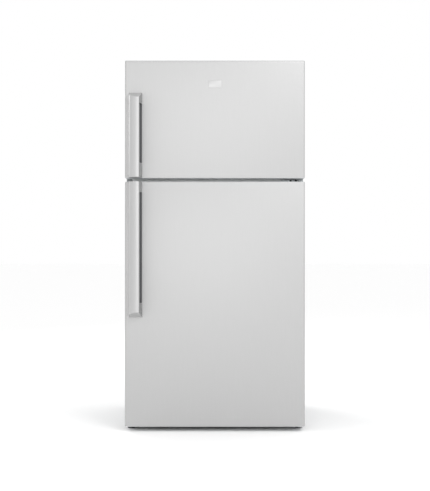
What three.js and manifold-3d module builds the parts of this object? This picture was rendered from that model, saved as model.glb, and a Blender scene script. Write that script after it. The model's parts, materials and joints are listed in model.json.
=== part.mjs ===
// Top-freezer refrigerator, both doors hinged on the right. Millimetres, +Z up, the front faces -Y.
// The origin is on the floor, midway between the left and right sides and between the grips and the rear.
import * as THREE from "three";
import { mergeVertices } from "three/addons/utils/BufferGeometryUtils.js";
import Module from "manifold-3d";

const wasm = await Module();
wasm.setup();

// ---- driving dimensions ----
const width = 832; // both doors
const height = 1715; // floor to the top of the freezer door
const cabinetDepth = 680; // front flange to the rear edge of the sides
const doorThickness = 66;
const gasketGap = 13; // door back to cabinet front
const handleStandoff = 60; // door face to the front of a grip
const freezerDoorHeight = 544;
const doorGap = 16; // between the two doors
const doorBottom = 23; // floor to the lower edge of the fridge door
const doorTopLip = 12; // the freezer door's front lip hides the top hinge
const cabinetInset = 2; // each side of the cabinet stands this far inside the doors
const edgeRadius = 8; // bend at a door panel's upright edges

const sheet = 1; // steel panels
const linerWall = 1.5; // vacuum-formed liners
const seam = 0.3; // clearance between pieces that touch
const sideWall = 55; // outside of the doors' width to the inside of a liner
const topWall = 62;
const backWall = 62;
const floorWall = 55;
const mullionHeight = 56; // insulated wall between the compartments
const flangeWidth = 26; // the shell's front flange
const boxBottom = 62; // floor to the underside of the insulated box
const sidePanelBottom = 22;

const machineDepth = 230; // compressor space at the lower rear
const machineTop = 272;
const machineWall = 50; // insulation over and in front of it

const pinInset = 20; // hinge axis to the door's right edge
const pinSetback = 45; // hinge axis to the door's face
const pinRadius = 5;
const pinPlay = 0.8; // radial, in the doors' bores
const armHalfWidth = 12;
const capHeight = 24; // plastic end caps of the doors
const lipDepth = 14;

const dykeDepth = 38; // raised rim on the inside of a door
const dykeWall = 22;
const dykeClearance = 6;
const gasketWidth = 18;
const fridgeBinDepth = 108;
const freezerBinDepth = 88;
const binWall = 2.5;

const handleLeft = 396; // left of the middle, where a handle meets the door
const handleRight = 336;
const handleLean = 9; // its right flank leans in by this much towards the front
const handleCorner = 7;
const gripThickness = 15;
const handleWall = 13; // behind the grip, on the left of the finger space
const handleBase = 3;
const handleTaper = 26; // slope at the far end
const freezerGrip = { length: 392, foot: 65, tip: 50 };
const fridgeGrip = { length: 625, foot: 46, tip: 67 };

const shelfDepth = 440;
const shelfThickness = 14;
const paneThickness = 4;
const shelfBorder = 18;
const ledgeWidth = 8;
const crisperHeight = 215;
const drawerSetback = 21; // behind the door bins

// ---- places that follow from them ----
const overallDepth = handleStandoff + doorThickness + gasketGap + cabinetDepth;
const cabinetFront = overallDepth / 2 - cabinetDepth;
const cabinetHalf = width / 2 - cabinetInset;
const cabinetTop = height - doorTopLip;
const cavityHalf = width / 2 - sideWall;
const cavityDepth = cabinetDepth - backWall;
const gapCentre = height - freezerDoorHeight - doorGap / 2;
const freezerFloor = gapCentre + mullionHeight / 2;
const freezerCeiling = cabinetTop - topWall;
const fridgeCeiling = gapCentre - mullionHeight / 2;
const fridgeFloor = boxBottom + floorWall;
const machineFront = cabinetDepth - machineDepth;
const humpFront = machineFront - machineWall;
const humpTop = machineTop + machineWall;
const innerHalf = cabinetHalf - sheet - seam; // inside the shell
const rimHalf = cabinetHalf - flangeWidth - seam; // inside its front flange
const rimLap = 8; // how far a liner's rim laps over the mullion
const fridgeDoorHeight = height - freezerDoorHeight - doorGap - doorBottom;
const hingeX = width / 2 - pinInset;
const doorBack = doorThickness - pinSetback; // behind the hinge axis
const hingeY = -(gasketGap + doorBack); // measured from the cabinet's front
const fridgeBinReach = hingeY + doorBack + seam + fridgeBinDepth;
const drawerFront = fridgeBinReach + drawerSetback;
const shelfFront = drawerFront + 6;
const evaporatorWall = cavityDepth - 85;

// ---- materials ----
const finish = (color, roughness, metalness = 0) =>
  new THREE.MeshStandardMaterial({ color, roughness, metalness });
const doorSteel = finish(0xd9dadb, 0.36, 0.55);
const handleMetal = finish(0xd4d5d6, 0.3, 0.8);
const paintedSteel = finish(0xb8babc, 0.5, 0.2);
const galvanised = finish(0x9fa3a6, 0.45, 0.8);
const foam = finish(0xe6dcae, 0.9);
const whiteLiner = finish(0xf1f2f2, 0.35);
const greyPlastic = finish(0x8b8e91, 0.5);
const darkPlastic = finish(0x2a2b2d, 0.6);
const gasketRubber = finish(0xbfc1c2, 0.7);
const clearPlastic = finish(0xdfe9ee, 0.12);
const shelfGlass = finish(0xd5e5e0, 0.08);
const enamel = finish(0x1a1b1d, 0.35, 0.3);
const aluminium = finish(0xc6c9cb, 0.35, 0.9);

// ---- solids ----
function toSolid(geometry) {
  const bare = geometry.index ? geometry.toNonIndexed() : geometry.clone();
  bare.deleteAttribute("normal");
  bare.deleteAttribute("uv");
  const merged = mergeVertices(bare, 1e-4);
  return new wasm.Manifold(
    new wasm.Mesh({
      numProp: 3,
      vertProperties: merged.attributes.position.array,
      triVerts: new Uint32Array(merged.index.array),
    }),
  );
}

function toGeometry(solid) {
  const { vertProperties, triVerts } = solid.getMesh();
  const geometry = new THREE.BufferGeometry();
  geometry.setAttribute("position", new THREE.BufferAttribute(vertProperties, 3));
  geometry.setIndex(new THREE.BufferAttribute(triVerts, 1));
  const flat = geometry.toNonIndexed();
  flat.computeVertexNormals();
  return flat;
}

const join = (first, ...rest) =>
  toGeometry(rest.reduce((solid, g) => solid.add(toSolid(g)), toSolid(first)));
const cut = (first, ...tools) =>
  toGeometry(tools.reduce((solid, g) => solid.subtract(toSolid(g)), toSolid(first)));

// A box from its limits along each axis.
function block([x0, x1], [y0, y1], [z0, z1]) {
  const box = new THREE.BoxGeometry(x1 - x0, y1 - y0, z1 - z0);
  return box.translate((x0 + x1) / 2, (y0 + y1) / 2, (z0 + z1) / 2);
}

const bothSides = (reach) => [-reach, reach];

// Outline in X and Y, pulled up from z0 to z1.
function extrudeUp(shape, [z0, z1], curveSegments = 4) {
  const options = { depth: z1 - z0, bevelEnabled: false, curveSegments };
  return new THREE.ExtrudeGeometry(shape, options).translate(0, 0, z0);
}

// Outline of [y, z] points, pulled along X.
function extrudeAcross(points, [x0, x1]) {
  const shape = new THREE.Shape(points.map(([y, z]) => new THREE.Vector2(y, z)));
  const solid = new THREE.ExtrudeGeometry(shape, { depth: x1 - x0, bevelEnabled: false });
  const turn = new THREE.Matrix4().makeBasis(
    new THREE.Vector3(0, 1, 0),
    new THREE.Vector3(0, 0, 1),
    new THREE.Vector3(1, 0, 0),
  );
  return solid.applyMatrix4(turn).translate(x0, 0, 0);
}

// A cylinder about the Z, Y or X axis, from one end to the other.
function rod(radius, [from, to], axis = "z", segments = 16) {
  const solid = new THREE.CylinderGeometry(radius, radius, to - from, segments);
  solid.translate(0, (from + to) / 2, 0);
  if (axis === "z") solid.rotateX(Math.PI / 2);
  if (axis === "x") solid.rotateZ(-Math.PI / 2);
  return solid;
}

// A plate outline that runs straight back from a round end at the origin.
function roundEndedArm(halfWidth, length) {
  const shape = new THREE.Shape();
  shape.moveTo(halfWidth, 0);
  shape.lineTo(halfWidth, length);
  shape.lineTo(-halfWidth, length);
  shape.lineTo(-halfWidth, 0);
  shape.absarc(0, 0, halfWidth, Math.PI, 2 * Math.PI, false);
  return shape;
}

function part(group, name, geometry, material, position = [0, 0, 0]) {
  const mesh = new THREE.Mesh(geometry, material);
  mesh.name = name;
  mesh.position.set(...position);
  group.add(mesh);
  return mesh;
}

// ---- cabinet: y runs back from its front face ----
const cabinet = new THREE.Group();
cabinet.position.y = cabinetFront;

// Side view of the fridge compartment, grown outwards by a distance.
function fridgeOutline(grow, front) {
  return [
    [front, fridgeFloor - grow],
    [humpFront + grow, fridgeFloor - grow],
    [humpFront + grow, humpTop - grow],
    [cavityDepth + grow, humpTop - grow],
    [cavityDepth + grow, fridgeCeiling + grow],
    [front, fridgeCeiling + grow],
  ];
}

function freezerSpace(grow, front) {
  const upright = [freezerFloor - grow, freezerCeiling + grow];
  return block(bothSides(cavityHalf + grow), [front, cavityDepth + grow], upright);
}

function outerShell() {
  const outside = block(bothSides(cabinetHalf), [0, cabinetDepth], [sidePanelBottom, cabinetTop]);
  const inside = block(
    bothSides(cabinetHalf - sheet),
    [sheet, cabinetDepth + 1],
    [sidePanelBottom - 1, cabinetTop - sheet],
  );
  const opening = block(
    bothSides(cabinetHalf - flangeWidth),
    [-1, sheet + 1],
    [sidePanelBottom - 1, cabinetTop - flangeWidth],
  );
  return cut(outside, inside, opening);
}

const floorSheet = 1.2;
const floorTop = boxBottom - seam;
const floorLip = boxBottom + flangeWidth - 2;

function cabinetFloor() {
  const start = sheet + seam;
  const back = cabinetDepth - 2 * sheet - seam;
  const profile = [
    [start, floorTop - floorSheet],
    [machineFront + floorSheet, floorTop - floorSheet],
    [machineFront + floorSheet, machineTop - floorSheet],
    [back, machineTop - floorSheet],
    [back, machineTop],
    [machineFront, machineTop],
    [machineFront, floorTop],
    [start, floorTop],
  ];
  const lip = block(bothSides(rimHalf), [0, start + 0.5], [floorTop - floorSheet, floorLip]);
  return join(extrudeAcross(profile, bothSides(innerHalf)), lip);
}

function cabinetInsulation() {
  const front = linerWall + seam;
  const back = cabinetDepth - 2 * sheet;
  const top = cabinetTop - sheet - seam;
  const profile = [
    [front, boxBottom],
    [machineFront - seam, boxBottom],
    [machineFront - seam, machineTop + seam],
    [back, machineTop + seam],
    [back, top],
    [front, top],
  ];
  const grow = linerWall + seam;
  return cut(
    extrudeAcross(profile, bothSides(innerHalf)),
    freezerSpace(grow, front - 1),
    extrudeAcross(fridgeOutline(grow, front - 1), bothSides(cavityHalf + grow)),
  );
}

// Ledges that carry a shelf, one on each side wall.
function ledges(shelfBottom, [front, back]) {
  const upright = [shelfBottom - seam - 6, shelfBottom - seam];
  return [-1, 1].map((side) => {
    const reach = [side * (cavityHalf - ledgeWidth), side * (cavityHalf + linerWall / 2)];
    return block(reach.sort((a, b) => a - b), [front, back], upright);
  });
}

const shelfHeights = { upper: 850, lower: 590 };
const crisperCoverBottom = fridgeFloor + crisperHeight + 12;
const freezerShelfBottom = freezerFloor + 222;
const freezerShelfBack = evaporatorWall - 15;

function liner(space, inside, [rimBottom, rimTop], opening, ...moulded) {
  const rim = block(bothSides(rimHalf), [0, linerWall], [rimBottom, rimTop]);
  return cut(join(space, rim, ...moulded), inside, opening);
}

function fridgeLiner() {
  const opening = block(bothSides(cavityHalf), [-1, linerWall + 1], [fridgeFloor, fridgeCeiling]);
  const shell = liner(
    extrudeAcross(fridgeOutline(linerWall, 0), bothSides(cavityHalf + linerWall)),
    extrudeAcross(fridgeOutline(0, -1), bothSides(cavityHalf)),
    [floorLip + 0.5, fridgeCeiling + rimLap],
    opening,
  );
  const shelfRun = [shelfFront, shelfFront + shelfDepth];
  return join(
    shell,
    ...ledges(shelfHeights.upper, shelfRun),
    ...ledges(shelfHeights.lower, shelfRun),
    ...ledges(crisperCoverBottom, [shelfFront, cavityDepth - 24]),
  );
}

function freezerLiner() {
  const opening = block(
    bothSides(cavityHalf),
    [-1, linerWall + 1],
    [freezerFloor, freezerCeiling],
  );
  const shell = liner(
    freezerSpace(linerWall, 0),
    freezerSpace(0, -1),
    [freezerFloor - rimLap, cabinetTop - flangeWidth - seam],
    opening,
  );
  return join(shell, ...ledges(freezerShelfBottom, [120, freezerShelfBack]));
}

function mullionTrim() {
  const upright = [fridgeCeiling + rimLap + 0.5, freezerFloor - rimLap - 0.5];
  return block(bothSides(rimHalf), [0, linerWall], upright);
}

function rearPanel() {
  const upright = [machineTop + seam, cabinetTop - sheet - seam];
  const back = cabinetDepth - seam;
  return block(bothSides(innerHalf), [back - sheet, back], upright);
}

part(cabinet, "outer_shell", outerShell(), paintedSteel);
part(cabinet, "rear_panel", rearPanel(), galvanised);
part(cabinet, "cabinet_floor", cabinetFloor(), galvanised);
part(cabinet, "cabinet_insulation", cabinetInsulation(), foam);
part(cabinet, "fridge_liner", fridgeLiner(), whiteLiner);
part(cabinet, "freezer_liner", freezerLiner(), whiteLiner);
part(cabinet, "mullion_trim", mullionTrim(), paintedSteel);

// ---- base: rails, feet and rollers ----
const railTop = floorTop - floorSheet - seam;
const railOuter = innerHalf - 0.7;
const railWidth = 32;
const railWall = 2;
const railBottom = 26;
const railMiddle = railOuter - railWidth / 2;
const rollerRadius = 22;
const rollerWidth = 18;
const axleRadius = 4;
const rollerY = cabinetDepth - 40;
const footY = 30;
const footBase = 12;
const shankRadius = 5;
const trayTop = 36.5;
const machineBack = cabinetDepth - 4;
const railEnd = machineBack - 2 - seam;

function rail(side) {
  const across = (a, b) => [side * a, side * b].sort((p, q) => p - q);
  const run = [2, railEnd];
  const ends = [railOuter - railWidth, railOuter];
  const inner = across(ends[0], ends[0] + railWall);
  const outer = across(ends[1] - railWall, ends[1]);
  const ear = [rollerY - 18, rollerY + 18];
  const axle = rod(axleRadius, across(ends[0] + 1, ends[1] - 1), "x");
  const nut = block(across(ends[0] + 1, ends[1] - 1), [footY - 16, footY + 16], [30, 38]);
  const bore = rod(shankRadius + 0.7, [20, 48]).translate(side * railMiddle, footY, 0);
  return cut(
    join(
      block(across(...ends), run, [railTop - railWall, railTop]),
      block(inner, run, [railBottom, railTop]),
      block(outer, run, [railBottom, railTop]),
      block(inner, ear, [rollerRadius - 10, railTop]),
      block(outer, ear, [rollerRadius - 10, railTop]),
      axle.translate(0, rollerY, rollerRadius),
      nut,
    ),
    bore,
  );
}

function baseChassis() {
  const reach = railOuter - railWidth + 1;
  const crossMember = block(bothSides(reach), [10, 40], [40, railTop]);
  const tray = block(bothSides(reach), [machineFront + 3, railEnd], [trayTop - 2.5, trayTop]);
  return join(rail(-1), rail(1), crossMember, tray);
}

function levellingFoot() {
  const shank = rod(shankRadius, [footBase - 1, 54]);
  return join(rod(17, [0, footBase], "z", 24), shank);
}

function roller() {
  const wheel = rod(rollerRadius, [-rollerWidth / 2, rollerWidth / 2], "x", 32);
  return cut(wheel, rod(axleRadius + 0.6, [-rollerWidth, rollerWidth], "x"));
}

part(cabinet, "base_chassis", baseChassis(), galvanised);
for (const [name, side] of [["left", -1], ["right", 1]]) {
  const x = side * railMiddle;
  part(cabinet, `${name}_levelling_foot`, levellingFoot(), darkPlastic, [x, footY, 0]);
  part(cabinet, `${name}_roller`, roller(), darkPlastic, [x, rollerY, rollerRadius]);
}

// ---- hinges ----
const plate = 3;
const bracketLeft = 312;
const bottomArm = [doorBottom - 8, doorBottom - 4];

function topHinge() {
  const z = cabinetTop + seam;
  const arm = extrudeUp(roundEndedArm(armHalfWidth, 60), [z, z + plate], 8);
  const pin = rod(pinRadius, [z - 15, z + 1]);
  const base = block([-hingeX + 338, armHalfWidth], [-hingeY + 4, -hingeY + 84], [z, z + plate]);
  return join(arm, pin, base);
}

function topHingeCover() {
  const z = [cabinetTop + seam + plate + seam, height - seam];
  const arm = extrudeUp(roundEndedArm(armHalfWidth, 60), z, 8);
  return join(arm, block([-hingeX + 334, armHalfWidth], [-hingeY + 2, -hingeY + 88], z));
}

function centreHinge() {
  const arm = extrudeUp(roundEndedArm(armHalfWidth, -hingeY - 2), [gapCentre - 2, gapCentre + 2], 8);
  const pin = rod(pinRadius, [gapCentre - doorGap / 2 - 11, gapCentre + doorGap / 2 + 11]);
  const upright = [gapCentre - doorGap / 2 + 0.5, gapCentre + doorGap / 2 - 0.5];
  const flange = block(
    [bracketLeft - hingeX, armHalfWidth + 1],
    [-hingeY - seam - plate, -hingeY - seam],
    upright,
  );
  return join(arm, pin, flange);
}

function bottomHinge() {
  const arm = extrudeUp(roundEndedArm(armHalfWidth, -hingeY - 2), bottomArm, 8);
  const pin = rod(pinRadius, [bottomArm[0] + 1, doorBottom + 12]);
  const flange = block(
    [bracketLeft + 18 - hingeX, armHalfWidth + 1],
    [-hingeY - seam - plate, -hingeY - seam],
    [bottomArm[0], boxBottom - 5],
  );
  return join(arm, pin, flange);
}

const onAxis = [hingeX, hingeY, 0];
part(cabinet, "top_hinge", topHinge(), galvanised, onAxis);
part(cabinet, "top_hinge_cover", topHingeCover(), greyPlastic, onAxis);
part(cabinet, "centre_hinge", centreHinge(), galvanised, onAxis);
part(cabinet, "bottom_hinge", bottomHinge(), galvanised, onAxis);

function kickGrille() {
  const reach = [-cabinetHalf + 3, bracketLeft + 10];
  const panel = block(reach, [-9, -seam], [10, boxBottom - 5]);
  const hollow = block([reach[0] + 3, reach[1] - 3], [-6, 0], [5, boxBottom - 9]);
  const slots = [20, 30, 40].map((z) =>
    block([reach[0] + 40, reach[1] - 40], [-12, -4], [z - 2.5, z + 2.5]),
  );
  const stays = [-210, 0, 170].map((x) => block([x - 3, x + 3], [-9, -5], [12, boxBottom - 8]));
  return join(cut(panel, hollow, ...slots), ...stays);
}
part(cabinet, "kick_grille", kickGrille(), darkPlastic);

// ---- cooling ----
const turnToBack = (geometry) => geometry.rotateX(-Math.PI / 2);
const turnToRight = (geometry) => geometry.rotateY(Math.PI / 2);

// Parallel fins on a few tubes; x along the tubes, centred on the origin.
function finnedCoil(length, depth, tall, fins, rows, columns) {
  const tubeSide = 7;
  const pitch = (length - 20) / (fins - 1);
  const plates = Array.from({ length: fins }, (_, i) => {
    const x = -length / 2 + 10 + i * pitch;
    return block([x - 0.8, x + 0.8], bothSides(depth / 2), bothSides(tall / 2));
  });
  const tubes = [];
  for (let row = 0; row < rows; row++) {
    for (let column = 0; column < columns; column++) {
      const z = ((row + 0.5) / rows - 0.5) * tall;
      const y = ((column + 0.5) / columns - 0.5) * depth;
      const tube = block(bothSides(length / 2), bothSides(tubeSide / 2), bothSides(tubeSide / 2));
      tubes.push(tube.translate(0, y, z));
    }
  }
  return join(...plates, ...tubes);
}

// Hub and pitched blades about the Z axis.
function fanWheel({ radius, depth, shaft }) {
  const hub = radius * 0.33;
  const blades = Array.from({ length: 5 }, (_, i) => {
    const blade = block([hub - 4, radius], bothSides(1), bothSides(depth * 0.62));
    blade.rotateX(0.75);
    return blade.rotateZ((i * 2 * Math.PI) / 5);
  });
  const wheel = join(rod(hub, bothSides(depth / 2), "z", 20), ...blades);
  return cut(wheel, rod(shaft + 0.6, [-depth, depth], "z", 12));
}

// Ring, spokes, motor and shaft for such a fan; the motor lies above it in Z.
function fanMount({ radius, depth, shaft }, motorLength) {
  const ring = cut(
    rod(radius + 7, bothSides(depth), "z", 32),
    rod(radius + 4, [-depth - 1, depth + 1], "z", 32),
  );
  const motorStart = depth / 2 + 5;
  const spokes = [0, 1, 2].map((i) => {
    const spoke = block([2, radius + 5.5], bothSides(3), [motorStart + 1, depth + 4]);
    return spoke.rotateZ((i * 2 * Math.PI) / 3);
  });
  const motor = rod(radius * 0.36, [motorStart, motorStart + motorLength], "z", 20);
  const spindle = rod(shaft, [-depth / 2 + 2, motorStart + 1], "z", 12);
  return join(ring, ...spokes, motor, spindle);
}

const panelThickness = 3;
const evaporatorFan = { radius: 52, depth: 16, shaft: 2.5 };
const evaporatorFanPlace = [
  0,
  evaporatorWall + panelThickness + evaporatorFan.depth - 0.5,
  freezerFloor + 325,
];
const condenserFan = { radius: 72, depth: 18, shaft: 3 };
const condenserFanPlace = [10, machineFront + 115, 154];

// The ring, spokes and motor of the fan are carried on the back of the cover.
function evaporatorCover() {
  const reach = bothSides(cavityHalf - 1.5);
  const upright = [freezerFloor + 1, freezerCeiling - 1];
  const panel = block(reach, [evaporatorWall, evaporatorWall + panelThickness], upright);
  const through = [evaporatorWall - 1, evaporatorWall + panelThickness + 1];
  const fanZ = evaporatorFanPlace[2];
  const louvres = [-3, -2, -1, 0, 1, 2, 3].map((i) => {
    const z = fanZ + i * 14;
    return block(bothSides(48 - 4 * Math.abs(i)), through, [z - 3, z + 3]);
  });
  const returns = [-2, -1, 0, 1, 2].map((i) =>
    block([i * 120 - 45, i * 120 + 45], through, [freezerFloor + 14, freezerFloor + 22]),
  );
  const mount = turnToBack(fanMount(evaporatorFan, 22)).translate(...evaporatorFanPlace);
  return join(cut(panel, ...louvres, ...returns), mount);
}

function compressor() {
  const profile = [
    [0, 8], [60, 8], [78, 20], [84, 40], [84, 105], [78, 135], [58, 158], [30, 168], [0, 170],
  ].map(([r, z]) => new THREE.Vector2(r, z));
  const dome = new THREE.LatheGeometry(profile, 28).rotateX(Math.PI / 2);
  const foot = block(bothSides(105), bothSides(52), [0.5, 4]);
  const stem = rod(55, [2, 20], "z", 24);
  const terminals = block([-112, -70], bothSides(28), [60, 118]);
  return join(dome, foot, stem, terminals);
}

function drainPan() {
  const outside = block(bothSides(150), bothSides(98), [0, 34]);
  return cut(outside, block(bothSides(148), bothSides(96), [2, 40]));
}

function machineCover() {
  const plateZ = [trayTop + 2, machineTop - 5];
  const y = [machineBack - 2, machineBack];
  const panel = block(bothSides(railOuter - 8), y, plateZ);
  const slots = [];
  for (let row = 0; row < 7; row++) {
    for (const x of [-290, -145, 0, 145, 290]) {
      const z = plateZ[0] + 36 + row * 26;
      slots.push(block([x - 55, x + 55], [y[0] - 1, y[1] + 1], [z - 4, z + 4]));
    }
  }
  return cut(panel, ...slots);
}

// The ring stands on the base tray on a foot.
function condenserFanMotor() {
  const [, , z] = condenserFanPlace;
  const foot = block([-9, 9], [-60, 60], [trayTop + 0.5 - z, -condenserFan.radius + 8]);
  const hollow = rod(condenserFan.radius + 4, [-30, 30], "x", 32);
  return join(turnToRight(fanMount(condenserFan, 30)), cut(foot, hollow));
}

const evaporatorPlace = [0, (evaporatorWall + 3 + cavityDepth) / 2, freezerFloor + 110];
part(cabinet, "evaporator_cover", evaporatorCover(), whiteLiner);
part(cabinet, "evaporator", finnedCoil(520, 56, 170, 12, 3, 2), aluminium, evaporatorPlace);
part(cabinet, "compressor", compressor(), enamel, [250, machineFront + 115, trayTop]);
part(cabinet, "drain_pan", drainPan(), darkPlastic, [-215, machineFront + 112, trayTop + seam]);
const coilPlace = [-215, machineFront + 112, trayTop + 120];
part(cabinet, "condenser_coil", finnedCoil(280, 170, 140, 9, 3, 2), enamel, coilPlace);
part(cabinet, "machine_cover", machineCover(), galvanised);
const evaporatorWheel = turnToBack(fanWheel(evaporatorFan));
part(cabinet, "evaporator_fan", evaporatorWheel, darkPlastic, evaporatorFanPlace);
const condenserWheel = turnToRight(fanWheel(condenserFan));
part(cabinet, "condenser_fan", condenserWheel, darkPlastic, condenserFanPlace);
part(cabinet, "condenser_fan_motor", condenserFanMotor(), galvanised, condenserFanPlace);

// ---- shelves and drawers ----
// Open-topped box; x centred, y from its front, z from its underside.
function openBox(w, d, h, wall) {
  const outside = block(bothSides(w / 2), [0, d], [0, h]);
  return cut(outside, block(bothSides(w / 2 - wall), [wall, d - wall], [wall, h + 1]));
}

const shelfHalf = cavityHalf - 3;

// Glass pane moulded into a plastic border; the underside is open inside the border.
function shelf(depth) {
  const slab = block(bothSides(shelfHalf), [0, depth], [0, shelfThickness]);
  const under = block(
    bothSides(shelfHalf - shelfBorder),
    [shelfBorder, depth - shelfBorder],
    [-1, shelfThickness - paneThickness],
  );
  return cut(slab, under);
}

const drawerGap = 4;
const crisperWidth = cavityHalf - 1.5 * drawerGap;
const crisperDepth = humpFront - drawerFront - 4;
const deliWidth = 330;
const deliHeight = 90;
const deliDepth = 380;
const deliX = -(cavityHalf - 20 - deliWidth / 2);
const deliDrop = 9; // shelf underside to the drawer's rim
const deliPlay = 2; // each side
const deliRail = { wall: 3, reach: 7, front: 4 };

// Two cheeks under the lower shelf end in rails that carry the deli drawer.
function lowerShelf() {
  const foot = -deliDrop - deliHeight - seam - deliRail.wall;
  const run = [deliRail.front, deliDepth];
  const cheek = (side) => {
    const inner = deliX + side * (deliWidth / 2 + deliPlay);
    const outer = inner + side * deliRail.wall;
    const across = (a, b) => [a, b].sort((p, q) => p - q);
    return join(
      block(across(inner, outer), run, [foot, 1]),
      block(across(outer, inner - side * deliRail.reach), run, [foot, foot + deliRail.wall]),
    );
  };
  return join(shelf(shelfDepth), cheek(-1), cheek(1));
}

// Open box with a pull along the top of its front.
function drawer(w, d, h, wall) {
  const lip = block(bothSides(w * 0.4), [-8, wall], [h - 22, h - 18]);
  const fall = block(bothSides(w * 0.4), [-8, -5.5], [h - 30, h - 18]);
  return join(openBox(w, d, h, wall), lip, fall);
}

part(cabinet, "upper_shelf", shelf(shelfDepth), shelfGlass, [0, shelfFront, shelfHeights.upper]);
part(cabinet, "lower_shelf", lowerShelf(), shelfGlass, [0, shelfFront, shelfHeights.lower]);
const deliPlace = [deliX, drawerFront, shelfHeights.lower - deliDrop - deliHeight];
const deliPan = drawer(deliWidth, deliDepth, deliHeight, binWall);
part(cabinet, "deli_drawer", deliPan, clearPlastic, deliPlace);

const coverDepth = cavityDepth - shelfFront - 6;
const sliderTravel = 30;
const sliderSlot = { half: 30, z: [4, 9] };

function crisperCover() {
  const slot = (x) => block([x - sliderSlot.half, x + sliderSlot.half], [-1, 7], sliderSlot.z);
  return cut(shelf(coverDepth), slot(-cavityHalf / 2), slot(cavityHalf / 2));
}

function humiditySlider() {
  const tongue = block(bothSides(8), [-2, 6], [sliderSlot.z[0] + 0.6, sliderSlot.z[1] - 0.6]);
  return join(tongue, block(bothSides(12), [-5, -1], [1, 13]));
}

const coverPlace = [0, shelfFront, crisperCoverBottom];
part(cabinet, "crisper_cover", crisperCover(), shelfGlass, coverPlace);
for (const [name, side] of [["left", -1], ["right", 1]]) {
  const x = (side * (crisperWidth + drawerGap)) / 2;
  const pan = drawer(crisperWidth, crisperDepth, crisperHeight, binWall);
  part(cabinet, `${name}_crisper`, pan, clearPlastic, [x, drawerFront, fridgeFloor + 2]);
}
// It starts at the left end of its slot.
const sliderPlace = [-cavityHalf / 2 - sliderTravel / 2, shelfFront, crisperCoverBottom];
part(cabinet, "humidity_slider", humiditySlider(), greyPlastic, sliderPlace);

function freezerShelf() {
  const depth = freezerShelfBack - 122;
  const slab = block(bothSides(shelfHalf), [0, depth], [0, 8]);
  const bars = 15;
  const pitch = (2 * shelfHalf - 10) / bars;
  const slots = [];
  for (let i = 0; i < bars; i++) {
    const x = -shelfHalf + 5 + (i + 0.5) * pitch;
    const across = [x - pitch / 2 + 3, x + pitch / 2 - 3];
    slots.push(block(across, [8, depth / 2 - 4], [-1, 9]));
    slots.push(block(across, [depth / 2 + 4, depth - 8], [-1, 9]));
  }
  return cut(slab, ...slots);
}
part(cabinet, "freezer_shelf", freezerShelf(), whiteLiner, [0, 122, freezerShelfBottom]);

// ---- ice maker: a frame on the freezer shelf, a twisting tray and a bin under it ----
const iceFrame = { width: 116, wall: 3, front: 110, depth: 260, tall: 172 };
const iceTray = { half: 50, under: 16, over: 14, pin: 5, wall: 3 };
const iceX = -(cavityHalf - 8 - iceFrame.width / 2);
const iceBottom = freezerShelfBottom + 8 + seam;
const icePivot = 137; // above the frame's foot
const iceBinHeight = 76;

function iceMakerFrame() {
  const { width: w, wall, depth, tall } = iceFrame;
  const outside = block(bothSides(w / 2), [0, depth], [0, tall]);
  const inside = block(bothSides(w / 2 - wall), [wall, depth - wall], [-1, tall + 1]);
  const doorway = block(bothSides(w / 2 - wall), [-1, wall + 1], [-1, iceBinHeight + 6]);
  const bores = rod(iceTray.pin + 0.7, [-1, depth + 1], "y").translate(0, 0, icePivot);
  return cut(outside, inside, doorway, bores);
}

// Open tray on two stub spindles, with a lever on the front one.
function iceTrayBody() {
  const { half, under, over, pin, wall } = iceTray;
  const ends = [iceFrame.wall + 4, iceFrame.depth - iceFrame.wall - 4];
  const body = block(bothSides(half), ends, [-under, over]);
  const hollow = block(
    bothSides(half - wall),
    [ends[0] + wall, ends[1] - wall],
    [wall - under, over + 1],
  );
  return join(
    cut(body, hollow),
    rod(pin, [-4, ends[0] + 1], "y"),
    rod(pin, [ends[1] - 1, iceFrame.depth + 1], "y"),
    rod(15, [-14, -3], "y", 20),
    block([-13, 13], [-20, -13], [-3.5, 3.5]),
  );
}

function iceBin() {
  const w = iceFrame.width - 2 * iceFrame.wall - 4;
  const d = iceFrame.depth - iceFrame.wall - 6;
  return drawer(w, d, iceBinHeight, 2);
}

const icePlace = [iceX, iceFrame.front, iceBottom];
part(cabinet, "ice_maker_frame", iceMakerFrame(), greyPlastic, icePlace);
const trayPlace = [iceX, iceFrame.front, iceBottom + icePivot];
part(cabinet, "ice_tray", iceTrayBody(), whiteLiner, trayPlace);
part(cabinet, "ice_bin", iceBin(), clearPlastic, icePlace);

// ---- controls ----
const housing = { half: 170, front: 150, depth: 170, tall: 46 };
const knobShaft = 4;

function controlHousing() {
  const { half, depth, tall } = housing;
  const body = block(bothSides(half), [0, depth], [-tall, -seam]);
  const lampWell = block(bothSides(58), [60, 140], [-tall - 1, -tall + 20]);
  const bore = rod(knobShaft + 0.6, [-1, 16], "y").translate(-100, 0, -tall / 2);
  return cut(body, lampWell, bore);
}

function knob() {
  const dial = rod(17, [-12, -seam], "y", 28);
  const grip = block(bothSides(3), [-19, -11], bothSides(15));
  return join(dial, grip, rod(knobShaft, [-1, 14], "y"));
}

const housingPlace = [0, housing.front, fridgeCeiling];
part(cabinet, "control_housing", controlHousing(), whiteLiner, housingPlace);
const knobPlace = [-100, housing.front, fridgeCeiling - housing.tall / 2];
part(cabinet, "temperature_knob", knob(), greyPlastic, knobPlace);

// ---- doors: origin on the hinge axis at the door's lower edge ----
function doorOutline(inset, back) {
  const left = pinInset - width + inset;
  const right = pinInset - inset;
  const front = -pinSetback + inset;
  const radius = edgeRadius - inset;
  const shape = new THREE.Shape();
  shape.moveTo(left, back);
  shape.lineTo(left, front + radius);
  shape.absarc(left + radius, front + radius, radius, Math.PI, 1.5 * Math.PI, false);
  shape.lineTo(right - radius, front);
  shape.absarc(right - radius, front + radius, radius, 1.5 * Math.PI, 2 * Math.PI, false);
  shape.lineTo(right, back);
  return shape;
}

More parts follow.
